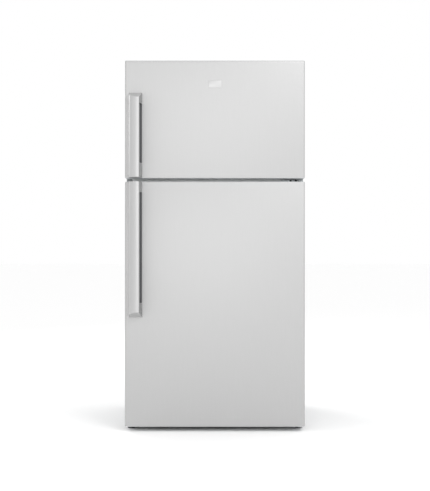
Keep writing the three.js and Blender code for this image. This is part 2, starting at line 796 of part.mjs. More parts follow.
const doorLinerWall = 1.7;
const skinBack = doorBack - doorLinerWall - seam;
const fill = sheet + seam;
const pinHole = (from, to) => rod(pinRadius + pinPlay, [from, to]);

// Rectangular frame lying in X and Z, from its outer limits inwards.
function frame([x0, x1], y, [z0, z1], wall) {
  const hole = block([x0 + wall, x1 - wall], [y[0] - 1, y[1] + 1], [z0 + wall, z1 - wall]);
  return cut(block([x0, x1], y, [z0, z1]), hole);
}

// Hollow from the right for fingers; solid at the foot, by the door's edge, and at the tip.
function handle({ length, foot, tip }, upwards) {
  const left = -handleLeft;
  const right = -handleRight;
  const front = -handleStandoff;
  const brow = right - handleLean;
  const profile = new THREE.Shape();
  profile.moveTo(left, -seam);
  profile.lineTo(right, -seam);
  profile.lineTo(right, -handleBase);
  profile.lineTo(brow, front + handleCorner);
  profile.quadraticCurveTo(brow, front, brow - handleCorner, front);
  profile.quadraticCurveTo(left + 5, front + 4, left, -handleBase);
  const fromFoot = (z) => (upwards ? z : length - z);
  const run = [fromFoot(foot), fromFoot(length - tip)].sort((a, b) => a - b);
  const fingers = block([left + handleWall, right + 1], [front + gripThickness, -handleBase], run);
  const slope = [
    [front - 1, fromFoot(length - handleTaper)],
    [-handleBase, fromFoot(length + 1)],
    [front - 1, fromFoot(length + 1)],
  ];
  const wedge = extrudeAcross(slope, [left - 1, right + 1]);
  return cut(extrudeUp(profile, [0, length], 6), fingers, wedge);
}

function door(name, { bottom, tall, cavity, lip, grip }) {
  const group = new THREE.Group();
  group.position.set(hingeX, hingeY, bottom);
  const bodyTop = tall - lip; // the part behind the lip stops here
  const lipBack = -pinSetback + lipDepth;

  const outside = extrudeUp(doorOutline(0, skinBack), [0, tall]);
  const inside = extrudeUp(doorOutline(sheet, skinBack + 5), [-1, tall + 1]);
  const behindLip = block([-width, width], [lipBack, skinBack + 5], [bodyTop, tall + 1]);
  const skin = lip ? cut(outside, inside, behindLip) : cut(outside, inside);
  part(group, `${name}_door_panel`, skin, doorSteel);

  const lowCap = extrudeUp(doorOutline(fill, skinBack), [0, capHeight]);
  const highCap = extrudeUp(doorOutline(fill, skinBack), [bodyTop - capHeight, bodyTop]);
  const ridge = extrudeUp(doorOutline(fill, lipBack), [bodyTop - 1, tall - seam]);
  const topCap = lip ? join(highCap, ridge) : highCap;
  part(group, `${name}_door_bottom_cap`, cut(lowCap, pinHole(-1, 16)), greyPlastic);
  const topHole = pinHole(bodyTop - 18, bodyTop + 1);
  part(group, `${name}_door_top_cap`, cut(topCap, topHole), greyPlastic);

  const core = [capHeight + seam, bodyTop - capHeight - seam];
  part(group, `${name}_door_insulation`, extrudeUp(doorOutline(fill, skinBack), core), foam);

  const middle = -hingeX; // the cabinet's centre plane, seen from the hinge axis
  const dykeX = bothSides(cavityHalf - dykeClearance).map((x) => x + middle);
  const dykeZ = [cavity[0] - bottom + dykeClearance, cavity[1] - bottom - dykeClearance];
  const sheetX = [pinInset - width + 0.5, pinInset - 0.5];
  const back = block(sheetX, [doorBack - doorLinerWall, doorBack], [1, bodyTop - 1]);
  const dyke = frame(dykeX, [doorBack - 1, doorBack + dykeDepth], dykeZ, dykeWall);
  part(group, `${name}_door_liner`, join(back, dyke), whiteLiner);

  const sealX = bothSides(cavityHalf + 1 + gasketWidth).map((x) => x + middle);
  const sealZ = [
    cavity[0] - bottom - 1 - gasketWidth,
    cavity[1] - bottom + 1 + gasketWidth,
  ];
  const sealY = [doorBack + seam, doorBack + gasketGap - seam];
  part(group, `${name}_door_gasket`, frame(sealX, sealY, sealZ, gasketWidth), gasketRubber);

  const edgeGap = 2;
  const handleZ = lip ? edgeGap : tall - edgeGap - grip.length;
  const handlePlace = [middle, -pinSetback, handleZ];
  part(group, `${name}_door_handle`, handle(grip, lip > 0), handleMetal, handlePlace);
  cabinet.add(group);
  return group;
}

const binWidth = 2 * (cavityHalf - dykeClearance - dykeWall - 3);
const binPlace = (z) => [-hingeX, doorBack + seam, z];

const freezerDoorBottom = gapCentre + doorGap / 2;
const freezerDoor = door("freezer", {
  bottom: freezerDoorBottom,
  tall: freezerDoorHeight,
  cavity: [freezerFloor, freezerCeiling],
  lip: doorTopLip + 2,
  grip: freezerGrip,
});
const freezerBins = [["lower", 50], ["upper", 262]];
for (const [name, z] of freezerBins) {
  const bin = openBox(binWidth, freezerBinDepth, 84, binWall);
  part(freezerDoor, `freezer_door_${name}_bin`, bin, clearPlastic, binPlace(z));
}

const fridgeDoor = door("fridge", {
  bottom: doorBottom,
  tall: fridgeDoorHeight,
  cavity: [fridgeFloor, fridgeCeiling],
  lip: 0,
  grip: fridgeGrip,
});
const fridgeBins = [["lower", 126, 118], ["middle", 420, 90], ["upper", 680, 90]];
for (const [name, z, tall] of fridgeBins) {
  const bin = openBox(binWidth, fridgeBinDepth, tall, binWall);
  part(fridgeDoor, `fridge_door_${name}_bin`, bin, clearPlastic, binPlace(z));
}

// Dairy compartment under a lid that lifts on two stub pins.
const dairy = { bottom: 915, tall: 66, depth: 84, hingeZ: 996, stub: 3 };

// Its sides stand higher than its front, and the lid turns between them.
function dairyBox() {
  const { tall, depth, bottom, hingeZ, stub } = dairy;
  const sides = hingeZ - bottom + 8;
  const reach = bothSides(binWidth / 2 - binWall);
  const overFront = block(reach, [depth - binWall - 1, depth + 1], [tall, sides + 1]);
  const holes = rod(stub + 0.6, bothSides(binWidth / 2 + 1), "x", 12);
  const tray = openBox(binWidth, depth, sides, binWall);
  return cut(tray, overFront, holes.translate(0, 9, hingeZ - bottom));
}

function dairyLid() {
  const { depth, stub, hingeZ, bottom, tall } = dairy;
  const half = binWidth / 2 - binWall - 1.5;
  const rise = hingeZ - bottom - tall; // lid underside above the tray's rim
  const profile = [
    [-5, -3],
    [depth - 4, -3],
    [depth - 4, -rise - 32],
    [depth - 1.5, -rise - 32],
    [depth - 1.5, -1],
    [depth - 5, 3],
    [-5, 3],
  ];
  const shell = extrudeAcross(profile, bothSides(half));
  return join(shell, rod(stub, bothSides(binWidth / 2 - 0.4), "x", 12));
}
part(fridgeDoor, "dairy_box", dairyBox(), clearPlastic, binPlace(dairy.bottom));
const lidPlace = [-hingeX, doorBack + seam + 9, dairy.hingeZ];
part(fridgeDoor, "dairy_lid", dairyLid(), clearPlastic, lidPlace);

const refrigerator = new THREE.Group();
refrigerator.add(cabinet);
export default refrigerator;
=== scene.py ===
# Top freezer refrigerator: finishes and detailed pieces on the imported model. Metres; the doors face -Y.
import json
from math import cos, pi, radians, sin

import bmesh
import bpy
from mathutils import Matrix, Vector


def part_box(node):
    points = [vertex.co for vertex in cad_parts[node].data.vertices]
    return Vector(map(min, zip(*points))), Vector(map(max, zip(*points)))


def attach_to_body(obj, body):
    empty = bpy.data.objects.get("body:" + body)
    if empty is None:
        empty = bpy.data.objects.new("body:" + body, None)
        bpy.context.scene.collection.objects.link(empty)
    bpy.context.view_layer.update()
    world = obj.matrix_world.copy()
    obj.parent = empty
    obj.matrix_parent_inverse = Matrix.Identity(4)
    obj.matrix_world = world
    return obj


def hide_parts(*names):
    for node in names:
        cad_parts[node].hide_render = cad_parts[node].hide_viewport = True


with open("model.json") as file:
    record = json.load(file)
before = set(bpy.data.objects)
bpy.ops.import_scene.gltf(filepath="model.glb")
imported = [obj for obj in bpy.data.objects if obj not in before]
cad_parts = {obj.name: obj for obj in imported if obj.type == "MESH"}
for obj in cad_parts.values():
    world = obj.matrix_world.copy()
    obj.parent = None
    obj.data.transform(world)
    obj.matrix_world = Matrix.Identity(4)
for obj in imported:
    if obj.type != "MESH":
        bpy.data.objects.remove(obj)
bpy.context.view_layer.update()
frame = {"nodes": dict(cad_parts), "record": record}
bodyOf = {node: body for body, nodes in frame["record"]["behaviour"]["bodies"].items() for node in nodes}
slotOf = {part["node"]: part["material_slot"] for part in frame["record"]["subparts"]}
print("stage: frame loaded,", len(bodyOf), "nodes")


def toLinear(code):
    channels = [int(code[i : i + 2], 16) / 255 for i in (0, 2, 4)]
    return [c / 12.92 if c <= 0.04045 else ((c + 0.055) / 1.055) ** 2.4 for c in channels] + [1.0]


def addNode(tree, kind, links=None, inputs=None, **settings):
    node = tree.nodes.new("ShaderNode" + kind)
    for name, value in settings.items():
        setattr(node, name, value)
    for name, value in (inputs or {}).items():
        node.inputs[name].default_value = value
    for name, source in (links or {}).items():
        tree.links.new(source, node.inputs[name])
    return node


def startFinish(name, values):
    material = bpy.data.materials.new(name)
    material.use_nodes = True
    shader = material.node_tree.nodes["Principled BSDF"]
    shader.inputs["Base Color"].default_value = toLinear(values["colour"])
    shader.inputs["Roughness"].default_value = values["roughness"]
    shader.inputs["Metallic"].default_value = values.get("metallic", 0.0)
    if "ior" in values:
        shader.inputs["IOR"].default_value = values["ior"]
    return material, material.node_tree, shader


def patternPlace(tree, x, y=None, z=None):
    # Where a pattern is drawn, scaled so that it repeats every so many mm; one size does for all axes.
    place = addNode(tree, "TexCoord").outputs["Object"]
    scale = tuple(1000 / (size or x) for size in (x, y, z))
    return addNode(tree, "Mapping", links={"Vector": place}, inputs={"Scale": scale}).outputs["Vector"]


def drive(tree, shader, values, colour=None, gloss=None, height=None, strength=1.0):
    # What each pattern does: mixes two greys, varies the gloss, or raises the surface by a depth in mm.
    if colour:
        mix = addNode(tree, "Mix", data_type="RGBA", links={"Factor": colour})
        mix.inputs["A"].default_value = toLinear(values["dark"])
        mix.inputs["B"].default_value = toLinear(values["light"])
        tree.links.new(mix.outputs["Result"], shader.inputs["Base Color"])
    if gloss:
        span = {"From Min": 0.3, "From Max": 0.7, "To Min": values["smoothest"], "To Max": values["roughest"]}
        ranged = addNode(tree, "MapRange", links={"Value": gloss}, inputs=span)
        tree.links.new(ranged.outputs["Result"], shader.inputs["Roughness"])
    if height:
        settings = {"Distance": values["depth"] / 1000, "Strength": strength}
        bump = addNode(tree, "Bump", links={"Height": height}, inputs=settings)
        tree.links.new(bump.outputs["Normal"], shader.inputs["Normal"])


steelValues = {
    "colour": "b0b0b0", "dark": "ababab", "light": "b5b5b5", "roughness": 0.45, "smoothest": 0.41,
    "roughest": 0.5, "metallic": 0.35, "grainWidth": 0.9, "grainLength": 90, "depth": 0.02,
    "coat": 0.15, "coatRoughness": 0.25,
}
handleValues = dict(steelValues, colour="b6b6b6", dark="b2b2b2", light="bababa", roughness=0.4,
                    smoothest=0.36, roughest=0.45, grainWidth=0.7, grainLength=60)
# The handle's right flank: a darker copy of the handle finish, which paints the shade on that side.
paintedShadeFlankValues = dict(handleValues, colour="8b8c8c", dark="878888", light="8f9090")


def brushedMetal(name, values):
    # Brushed along its length, then clear coated: soft streaks and a wide, blurred highlight.
    # The real grain is about 0.1 mm wide; it is drawn wider so that it shows.
    material, tree, shader = startFinish(name, values)
    width, length = values["grainWidth"], values["grainLength"]
    grain = addNode(tree, "TexNoise", links={"Vector": patternPlace(tree, width, width, length)},
                    inputs={"Scale": 1.0, "Detail": 4.0, "Roughness": 0.6}).outputs["Fac"]
    drive(tree, shader, values, colour=grain, gloss=grain, height=grain)
    shader.inputs["Coat Weight"].default_value = values["coat"]
    shader.inputs["Coat Roughness"].default_value = values["coatRoughness"]
    return material


enamelValues = {
    "colour": "8f9294", "dark": "8a8d8f", "light": "959899", "roughness": 0.48,
    "smoothest": 0.44, "roughest": 0.54, "ior": 1.5, "pebble": 1.6, "depth": 0.09,
}
paleEnamelValues = dict(enamelValues, colour="eceeee", dark="e9ebeb", light="eff1f1")


def texturedEnamel(name, values):
    # Coil-coated steel with a rolled pebble texture: satin grey that breaks up reflections.
    material, tree, shader = startFinish(name, values)
    place = patternPlace(tree, values["pebble"])
    pebbles = addNode(tree, "TexVoronoi", links={"Vector": place},
                      inputs={"Scale": 1.0, "Randomness": 1.0}, feature="SMOOTH_F1").outputs["Distance"]
    patches = addNode(tree, "TexNoise", links={"Vector": place},
                      inputs={"Scale": 0.12, "Detail": 3.0}).outputs["Fac"]
    drive(tree, shader, values, colour=patches, gloss=patches, height=pebbles, strength=0.6)
    return material


zincValues = {
    "colour": "adb1b3", "dark": "a8acae", "light": "b3b7b9", "roughness": 0.45,
    "smoothest": 0.41, "roughest": 0.5, "metallic": 0.55, "spangle": 9.0, "depth": 0.02,
}


def galvanisedSteel(name, values):
    # Hot-dip zinc: faint crystal spangles, each a slightly different grey and gloss.
    material, tree, shader = startFinish(name, values)
    place = patternPlace(tree, values["spangle"])
    crystals = addNode(tree, "TexVoronoi", links={"Vector": place}, inputs={"Scale": 1.0, "Randomness": 1.0})
    grey = addNode(tree, "SeparateColor", links={"Color": crystals.outputs["Color"]}).outputs
    fine = addNode(tree, "TexNoise", links={"Vector": place}, inputs={"Scale": 5.0, "Detail": 3.0})
    drive(tree, shader, values, colour=grey["Red"], gloss=grey["Green"], height=fine.outputs["Fac"])
    return material


def mouldedPlastic(name, values):
    # Injection moulding from a spark-eroded tool: fine even texture, faint mottling.
    material, tree, shader = startFinish(name, values)
    place = patternPlace(tree, values["texture"])
    specks = addNode(tree, "TexNoise", links={"Vector": place},
                     inputs={"Scale": 1.0, "Detail": 3.0, "Roughness": 0.65}).outputs["Fac"]
    clouds = addNode(tree, "TexNoise", links={"Vector": place},
                     inputs={"Scale": 0.03, "Detail": 2.0}).outputs["Fac"]
    drive(tree, shader, values, colour=clouds, gloss=specks, height=specks,
          strength=values.get("strength", 1.0))
    return material


linerValues = {  # vacuum-formed polystyrene: glossy white, slightly wavy
    "colour": "f2f3f3", "dark": "eff0f0", "light": "f5f6f6", "roughness": 0.22,
    "smoothest": 0.18, "roughest": 0.28, "ior": 1.59, "texture": 12.0, "depth": 0.12, "strength": 0.35,
}
trimValues = {  # ABS, fine matt texture
    "colour": "c9cbcc", "dark": "c5c7c8", "light": "cdcfd0", "roughness": 0.5,
    "smoothest": 0.44, "roughest": 0.56, "ior": 1.54, "texture": 0.9, "depth": 0.03,
}
kickValues = dict(trimValues, colour="97999a", dark="939596", light="9b9d9e")
darkValues = {  # glass-filled polypropylene, near black
    "colour": "242527", "dark": "202123", "light": "292a2c", "roughness": 0.6,
    "smoothest": 0.52, "roughest": 0.68, "ior": 1.49, "texture": 1.1, "depth": 0.04,
}
# The handle's finger pocket: a dark grey that paints the shade inside the recess.
paintedShadePocketValues = dict(darkValues, colour="5a5b5d", dark="565759", light="5e5f61")
whiteTrimValues = dict(linerValues, colour="eceded", dark="e9eaea", light="eff0f0", roughness=0.35,
                       smoothest=0.31, roughest=0.4, texture=1.0, depth=0.02, strength=1.0)
gasketValues = {  # extruded soft vinyl
    "colour": "b4b6b7", "dark": "afb1b2", "light": "b9bbbc", "roughness": 0.55,
    "smoothest": 0.5, "roughest": 0.62, "ior": 1.53, "texture": 2.0, "depth": 0.03,
}
rubberValues = dict(darkValues, colour="1b1b1c", dark="181819", light="1f1f20", roughness=0.75,
                    smoothest=0.68, roughest=0.82)
foamValues = {  # rigid polyurethane foam, straw coloured, fine closed cells
    "colour": "dccb8e", "dark": "d3c07f", "light": "e5d69d", "roughness": 0.92,
    "smoothest": 0.88, "roughest": 0.97, "ior": 1.45, "texture": 1.4, "depth": 0.25,
}
wireCoatValues = dict(linerValues, colour="e8eaeb", dark="e4e6e7", light="eceeef",
                      roughness=0.3, texture=3.0, depth=0.05)
blackEnamelValues = {
    "colour": "17181a", "dark": "141517", "light": "1b1c1e", "roughness": 0.3,
    "smoothest": 0.25, "roughest": 0.38, "ior": 1.5, "texture": 3.0, "depth": 0.05,
}
opalValues = dict(linerValues, colour="f6f5f0", dark="f3f2ed", light="f8f7f3", roughness=0.3)

clearValues = {
    "colour": "dfe6ea", "roughness": 0.08, "ior": 1.57, "alpha": 0.2, "ripple": 18.0, "depth": 0.15,
}
glassValues = dict(clearValues, colour="c3d9d1", roughness=0.04, ior=1.52, alpha=0.3, ripple=60.0)


def clearMoulding(name, values):
    # Thin and see-through, with clean reflections and a slight ripple from the mould or the float bath.
    material, tree, shader = startFinish(name, values)
    shader.inputs["Alpha"].default_value = values["alpha"]
    ripple = addNode(tree, "TexNoise", links={"Vector": patternPlace(tree, values["ripple"])},
                     inputs={"Scale": 1.0, "Detail": 1.0})
    drive(tree, shader, values, height=ripple.outputs["Fac"], strength=0.4)
    return material


copperValues = {
    "colour": "b87a56", "dark": "a86a48", "light": "c78a66", "roughness": 0.32,
    "smoothest": 0.26, "roughest": 0.42, "metallic": 1.0, "blotch": 14.0,
}
aluminiumValues = dict(copperValues, colour="c9cccd", dark="bfc2c3", light="d3d5d6", roughness=0.38)
zincScrewValues = dict(copperValues, colour="c2c4c3", dark="b4b6b4", light="cfd1cf", roughness=0.3,
                       blotch=4.0)
blackScrewValues = dict(copperValues, colour="2e2f31", dark="28292b", light="343538", roughness=0.4,
                        blotch=4.0)


def bareMetal(name, values):
    # Drawn or plated metal, lightly tarnished in patches.
    material, tree, shader = startFinish(name, values)
    patches = addNode(tree, "TexNoise", links={"Vector": patternPlace(tree, values["blotch"])},
                      inputs={"Scale": 1.0, "Detail": 4.0}).outputs["Fac"]
    drive(tree, shader, values, colour=patches, gloss=patches)
    return material


finishes = {
    "doorSteel": brushedMetal("brushed_stainless_steel", steelValues),
    "handleSteel": brushedMetal("brushed_handle_alloy", handleValues),
    "paintedShadeFlankSteel": brushedMetal("brushed_handle_painted_shade_flank", paintedShadeFlankValues),
    "enamel": texturedEnamel("textured_grey_enamel", enamelValues),
    "paleEnamel": texturedEnamel("pale_mullion_enamel", paleEnamelValues),
    "zinc": galvanisedSteel("galvanised_steel", zincValues),
    "liner": mouldedPlastic("vacuum_formed_polystyrene", linerValues),
    "whiteTrim": mouldedPlastic("white_abs_trim", whiteTrimValues),
    "greyAbs": mouldedPlastic("grey_abs", trimValues),
    "kickAbs": mouldedPlastic("mid_grey_abs", kickValues),
    "blackPp": mouldedPlastic("black_polypropylene", darkValues),
    "pocket": mouldedPlastic("pocket_painted_shade", paintedShadePocketValues),
    "gasket": mouldedPlastic("extruded_vinyl", gasketValues),
    "rubber": mouldedPlastic("moulded_rubber", rubberValues),
    "foam": mouldedPlastic("rigid_polyurethane_foam", foamValues),
    "wireCoat": mouldedPlastic("epoxy_coated_wire", wireCoatValues),
    "blackEnamel": mouldedPlastic("gloss_black_enamel", blackEnamelValues),
    "opal": mouldedPlastic("opal_polycarbonate", opalValues),
    "clear": clearMoulding("clear_styrene_moulding", clearValues),
    "glass": clearMoulding("tempered_float_glass", glassValues),
    "copper": bareMetal("drawn_copper_tube", copperValues),
    "aluminium": bareMetal("mill_finish_aluminium", aluminiumValues),
    "screwZinc": bareMetal("zinc_plated_screw", zincScrewValues),
    "blackOxide": bareMetal("black_oxide_screw", blackScrewValues),
}
# The finishes that go in each of the record's material slots; a plain node takes the first.
slotFinishes = {
    "door_steel": ["doorSteel"], "handle_metal": ["handleSteel"], "cabinet_paint": ["enamel"],
    "galvanised_steel": ["zinc"], "white_liner": ["liner", "whiteTrim", "wireCoat", "opal"],
    "grey_plastic": ["greyAbs", "kickAbs"], "black_plastic": ["blackPp", "rubber"],
    "gasket_vinyl": ["gasket"], "clear_plastic": ["clear"], "shelf_glass": ["glass"],
    "black_enamel": ["blackEnamel"], "aluminium_fins": ["aluminium", "copper"],
}
slotFor = {finish: slot for slot, names in slotFinishes.items() for finish in names}
print("stage: finishes,", len(finishes))

# Shared ways of making and finishing pieces. Points are in metres; radii, widths and thicknesses in mm.
axes = {"x": Vector((1, 0, 0)), "y": Vector((0, 1, 0)), "z": Vector((0, 0, 1))}
turns = {"x": Matrix.Rotation(pi / 2, 4, "Y"), "y": Matrix.Rotation(-pi / 2, 4, "X"), "z": Matrix()}


def mm(value):
    return value / 1000


def inMetres(values):
    return {key: mm(value) for key, value in values.items()}


def point(x, y, z):
    return Vector((x, y, z)) / 1000


def at(value, level, within=1e-5):
    return abs(value - level) < within


def spread(start, end, count):
    return [start + (end - start) * i / (count - 1) for i in range(count)]


def cells(start, end, count):  # the middles of equal parts
    return [start + (end - start) * (i + 0.5) / count for i in range(count)]


def addBox(bm, low, high):
    low, high = Vector(low), Vector(high)
    matrix = Matrix.Translation((low + high) / 2) @ Matrix.Diagonal((*(high - low), 1))
    return bmesh.ops.create_cube(bm, size=1, matrix=matrix)["verts"]


def roundEdges(bm, edges, width, segments=3):
    bmesh.ops.bevel(bm, geom=list(edges), offset=mm(width), segments=segments, profile=0.5,
                    affect="EDGES", clamp_overlap=True, material=-1)


def addRoundBox(bm, low, high, radius, segments=2):
    verts = addBox(bm, low, high)
    roundEdges(bm, {e for v in verts for e in v.link_edges}, radius, segments)


def boxed(low, high):
    bm = bmesh.new()
    addBox(bm, low, high)
    bm.normal_update()
    return bm


def parallel(edges, axis):
    return [e for e in edges
            if abs((e.verts[1].co - e.verts[0].co).normalized().dot(axes[axis])) > 0.999]


def middle(edge):
    return (edge.verts[0].co + edge.verts[1].co) / 2


def centreOf(face):
    return face.calc_center_median()


def sharpEdges(edges, angle=30):
    return [e for e in edges if e.is_manifold and e.calc_face_angle(0) > radians(angle)]


def newVerts(result):
    return [g for g in result["geom"] if isinstance(g, bmesh.types.BMVert)]


def cutAt(bm, axis, level):
    bmesh.ops.bisect_plane(bm, geom=bm.verts[:] + bm.edges[:] + bm.faces[:], dist=1e-6,
                           plane_co=axes[axis] * level, plane_no=axes[axis])


def removeFaces(bm, wanted):
    bm.normal_update()
    bmesh.ops.delete(bm, geom=[f for f in bm.faces if wanted(f)], context="FACES")


def addProfile(bm, outline, start, end, axis="x"):
    # A flat outline pulled along one axis; its points are in the other two, in order.
    places = {"x": [(start, a, b) for a, b in outline], "y": [(a, start, b) for a, b in outline],
              "z": [(a, b, start) for a, b in outline]}[axis]
    face = bm.faces.new([bm.verts.new(place) for place in places])
    lone = list(face.verts)
    grown = newVerts(bmesh.ops.extrude_face_region(bm, geom=[face]))
    bmesh.ops.translate(bm, verts=grown, vec=axes[axis] * (end - start))
    faces = {f for v in lone + grown for f in v.link_faces}
    bmesh.ops.recalc_face_normals(bm, faces=list(faces))
    return [e for f in faces for e in f.edges]


def addRoundProfile(bm, outline, start, end, radius, axis="x"):
    edges = set(addProfile(bm, outline, start, end, axis))
    roundEdges(bm, sharpEdges(edges, 20), radius, 2)


def addRod(bm, start, end, radius, sides=16, endRadius=None):
    start, end = Vector(start), Vector(end)
    along = end - start
    place = Matrix.Translation((start + end) / 2) @ along.to_track_quat("Z", "Y").to_matrix().to_4x4()
    bmesh.ops.create_cone(bm, cap_ends=True, segments=sides, radius1=mm(radius),
                          radius2=mm(endRadius or radius), depth=along.length, matrix=place)


def addTurned(bm, outline, centre, axis="z", steps=32):
    # Outline points are (radius, height) in mm, from the axis out and back to it.
    before = set(bm.verts)
    verts = [bm.verts.new(point(radius, 0, height)) for radius, height in outline]
    edges = [bm.edges.new(pair) for pair in zip(verts, verts[1:])]
    bmesh.ops.spin(bm, geom=verts + edges, cent=(0, 0, 0), axis=(0, 0, 1), angle=2 * pi,
                   steps=steps, use_merge=True)
    made = [v for v in bm.verts if v not in before]
    bmesh.ops.transform(bm, verts=made, matrix=Matrix.Translation(centre) @ turns[axis])
    bmesh.ops.remove_doubles(bm, verts=made, dist=1e-6)
    faces = {f for v in made if v.is_valid for f in v.link_faces}
    bmesh.ops.recalc_face_normals(bm, faces=list(faces))


def attach(name, data, body, materials, replaces):
    for material in materials:
        data.materials.append(finishes[material])
    piece = bpy.data.objects.new(name, data)
    bpy.context.scene.collection.objects.link(piece)
    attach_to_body(piece, body)
    if replaces:
        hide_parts(replaces)
    return piece


def makePiece(bm, name, body, *materials, replaces=None, slot=None, sharp=35, turnOut=True):
    if turnOut:
        bmesh.ops.recalc_face_normals(bm, faces=bm.faces)
    mesh = bpy.data.meshes.new(name)
    bm.to_mesh(mesh)
    bm.free()
    mesh.shade_smooth()
    mesh.set_sharp_from_angle(angle=radians(sharp))
    return attach(name, mesh, body, materials, replaces)


def makeWires(name, body, routes, diameter, material, replaces=None, roundness=2):
    curve = bpy.data.curves.new(name, "CURVE")
    curve.dimensions = "3D"
    curve.bevel_depth = mm(diameter) / 2
    curve.bevel_resolution = roundness
    curve.use_fill_caps = True
    for route in routes:
        spline = curve.splines.new("POLY")
        spline.points.add(len(route) - 1)
        for place, target in zip(route, spline.points):
            target.co = (*place, 1)
    attach(name, curve, body, [material], replaces)


def giveWall(bm, thickness):  # behind the side that is seen
    bm.normal_update()
    bmesh.ops.solidify(bm, geom=bm.faces[:], thickness=mm(thickness))


def roundedRoute(points, radius, steps=6):
    # The corners of a route in mm, each turned into a bend.
    points = [point(*p) for p in points]
    route = [points[0]]
    for before, corner, after in zip(points, points[1:], points[2:]):
        reach = min(mm(radius), (before - corner).length / 2, (after - corner).length / 2)
        start = corner + (before - corner).normalized() * reach
        end = corner + (after - corner).normalized() * reach
        for i in range(steps + 1):
            t = i / steps
            route.append(start * (1 - t) ** 2 + corner * 2 * t * (1 - t) + end * t**2)
    return route + [points[-1]]


def serpentine(layers, passes, ends):
    # A tube that runs to and fro between its ends, up one layer and down the next.
    order = [(layer, place) for i, layer in enumerate(layers)
             for place in (reversed(passes) if i % 2 else passes)]
    return [(x, *places) for i, places in enumerate(order) for x in (reversed(ends) if i % 2 else ends)]


def mergedCopy(node):
    bm = bmesh.new()
    bm.from_mesh(frame["nodes"][node].data)
    bmesh.ops.remove_doubles(bm, verts=bm.verts, dist=1e-5)
    bmesh.ops.dissolve_limit(bm, angle_limit=radians(1), verts=bm.verts, edges=bm.edges)
    return bm


# How far each plain node's edges are eased.
easing = {
    "mullion_trim": 0.5, "kick_grille": 1, "cabinet_floor": 0.5, "base_chassis": 0.5, "top_hinge": 0.6,
    "top_hinge_cover": 2.2, "centre_hinge": 0.6, "bottom_hinge": 0.6, "freezer_door_top_cap": 1.2,
    "freezer_door_bottom_cap": 1.2, "fridge_door_top_cap": 1.2, "fridge_door_bottom_cap": 1.2,
    "control_housing": 2.5, "ice_tray": 0.9, "ice_maker_frame": 1.2, "condenser_fan_motor": 0.5,
    "machine_cover": 0.4, "evaporator_cover": 0.6,
}


def softenNode(node, finish=None, segments=2):
    # The node's own shape with its edges eased, as pressing or moulding leaves them.
    bm = mergedCopy(node)
    roundEdges(bm, sharpEdges(bm.edges), easing[node], segments)
    makePiece(bm, node + "_finished", bodyOf[node], finish or slotFinishes[slotOf[node]][0],
              replaces=node, slot=slotFor.get(finish, slotOf[node]), turnOut=False)


screwValues = {"head": 4.5, "height": 2.4, "sunk": 0.4, "slotWidth": 0.55, "slotDepth": 0.2}
screwShares = {"rim": 0.55, "domeFoot": 0.5, "domeTop": 0.72, "slot": 0.5}  # of the head or its height


def addScrew(bm, place, direction, scale=1.0):
    # Pan head with a domed rim and a cross recess.
    v, share = inMetres(screwValues), screwShares
    direction = Vector(direction)
    head, rise = screwValues["head"] * scale, direction * v["height"] * scale
    addRod(bm, place - direction * v["sunk"], place + rise * share["rim"], head, 20)
    addRod(bm, place + rise * share["domeFoot"], place + rise, head, 20, head * share["domeTop"])
    side = direction.orthogonal().normalized()
    for arm in (side, direction.cross(side)):
        half = arm * mm(head) * share["slot"] + direction.cross(arm) * v["slotWidth"]
        half = Vector([abs(c) for c in half]) + Vector([abs(c) for c in direction]) * v["slotDepth"]
        for vert in addBox(bm, place + rise - half, place + rise + half):
            for face in vert.link_faces:
                face.material_index = 1


def screwSet(name, places, direction, scale=1.0, metal="screwZinc"):
    bm = bmesh.new()
    for place in places:
        addScrew(bm, Vector(place), direction, scale)
    makePiece(bm, name, "cabinet", metal, "blackPp", turnOut=False)


# The door panels: one steel sheet each, folded back at the sides and rolled over the end caps.
doorValues = {"sideRadius": 8, "rollRadius": 5, "sheet": 0.9, "lipDepth": 14, "lipHeight": 14}


def doorPanel(prefix, hasLip):
    v = doorValues
    node = f"{prefix}_door_panel"
    low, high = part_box(node)
    bm = boxed(low, high)
    roundEdges(bm, [e for e in parallel(bm.edges, "z") if at(middle(e).y, low.y)], v["sideRadius"], 8)
    ends = [e for e in bm.edges if at(middle(e).z, low.z) or at(middle(e).z, high.z)]
    roundEdges(bm, [e for e in ends if not at(middle(e).y, high.y, 1e-4)], v["rollRadius"], 4)
    if hasLip:
        lipBack, bodyTop = low.y + mm(v["lipDepth"]), high.z - mm(v["lipHeight"])
        cutAt(bm, "y", lipBack)
        cutAt(bm, "z", bodyTop)
        removeFaces(bm, lambda f: centreOf(f).y > lipBack and centreOf(f).z > bodyTop)
    removeFaces(bm, lambda f: abs(f.normal.z) > 0.999 or f.normal.y > 0.999)
    giveWall(bm, v["sheet"])
    makePiece(bm, f"{prefix}_door_skin", f"{prefix}_door", "doorSteel", replaces=node, sharp=50,
              turnOut=False)


# The door handles: a bowed shell on the free edge; fingers go in from its right, behind the brow.
handleParts = {
    "base": 3, "lean": 9, "rightRadius": 6, "leftRadius": 42, "lip": 2.2, "seat": 2,
    "wall": 13, "grip": 15, "taper": 26, "edge": 0.8,
}


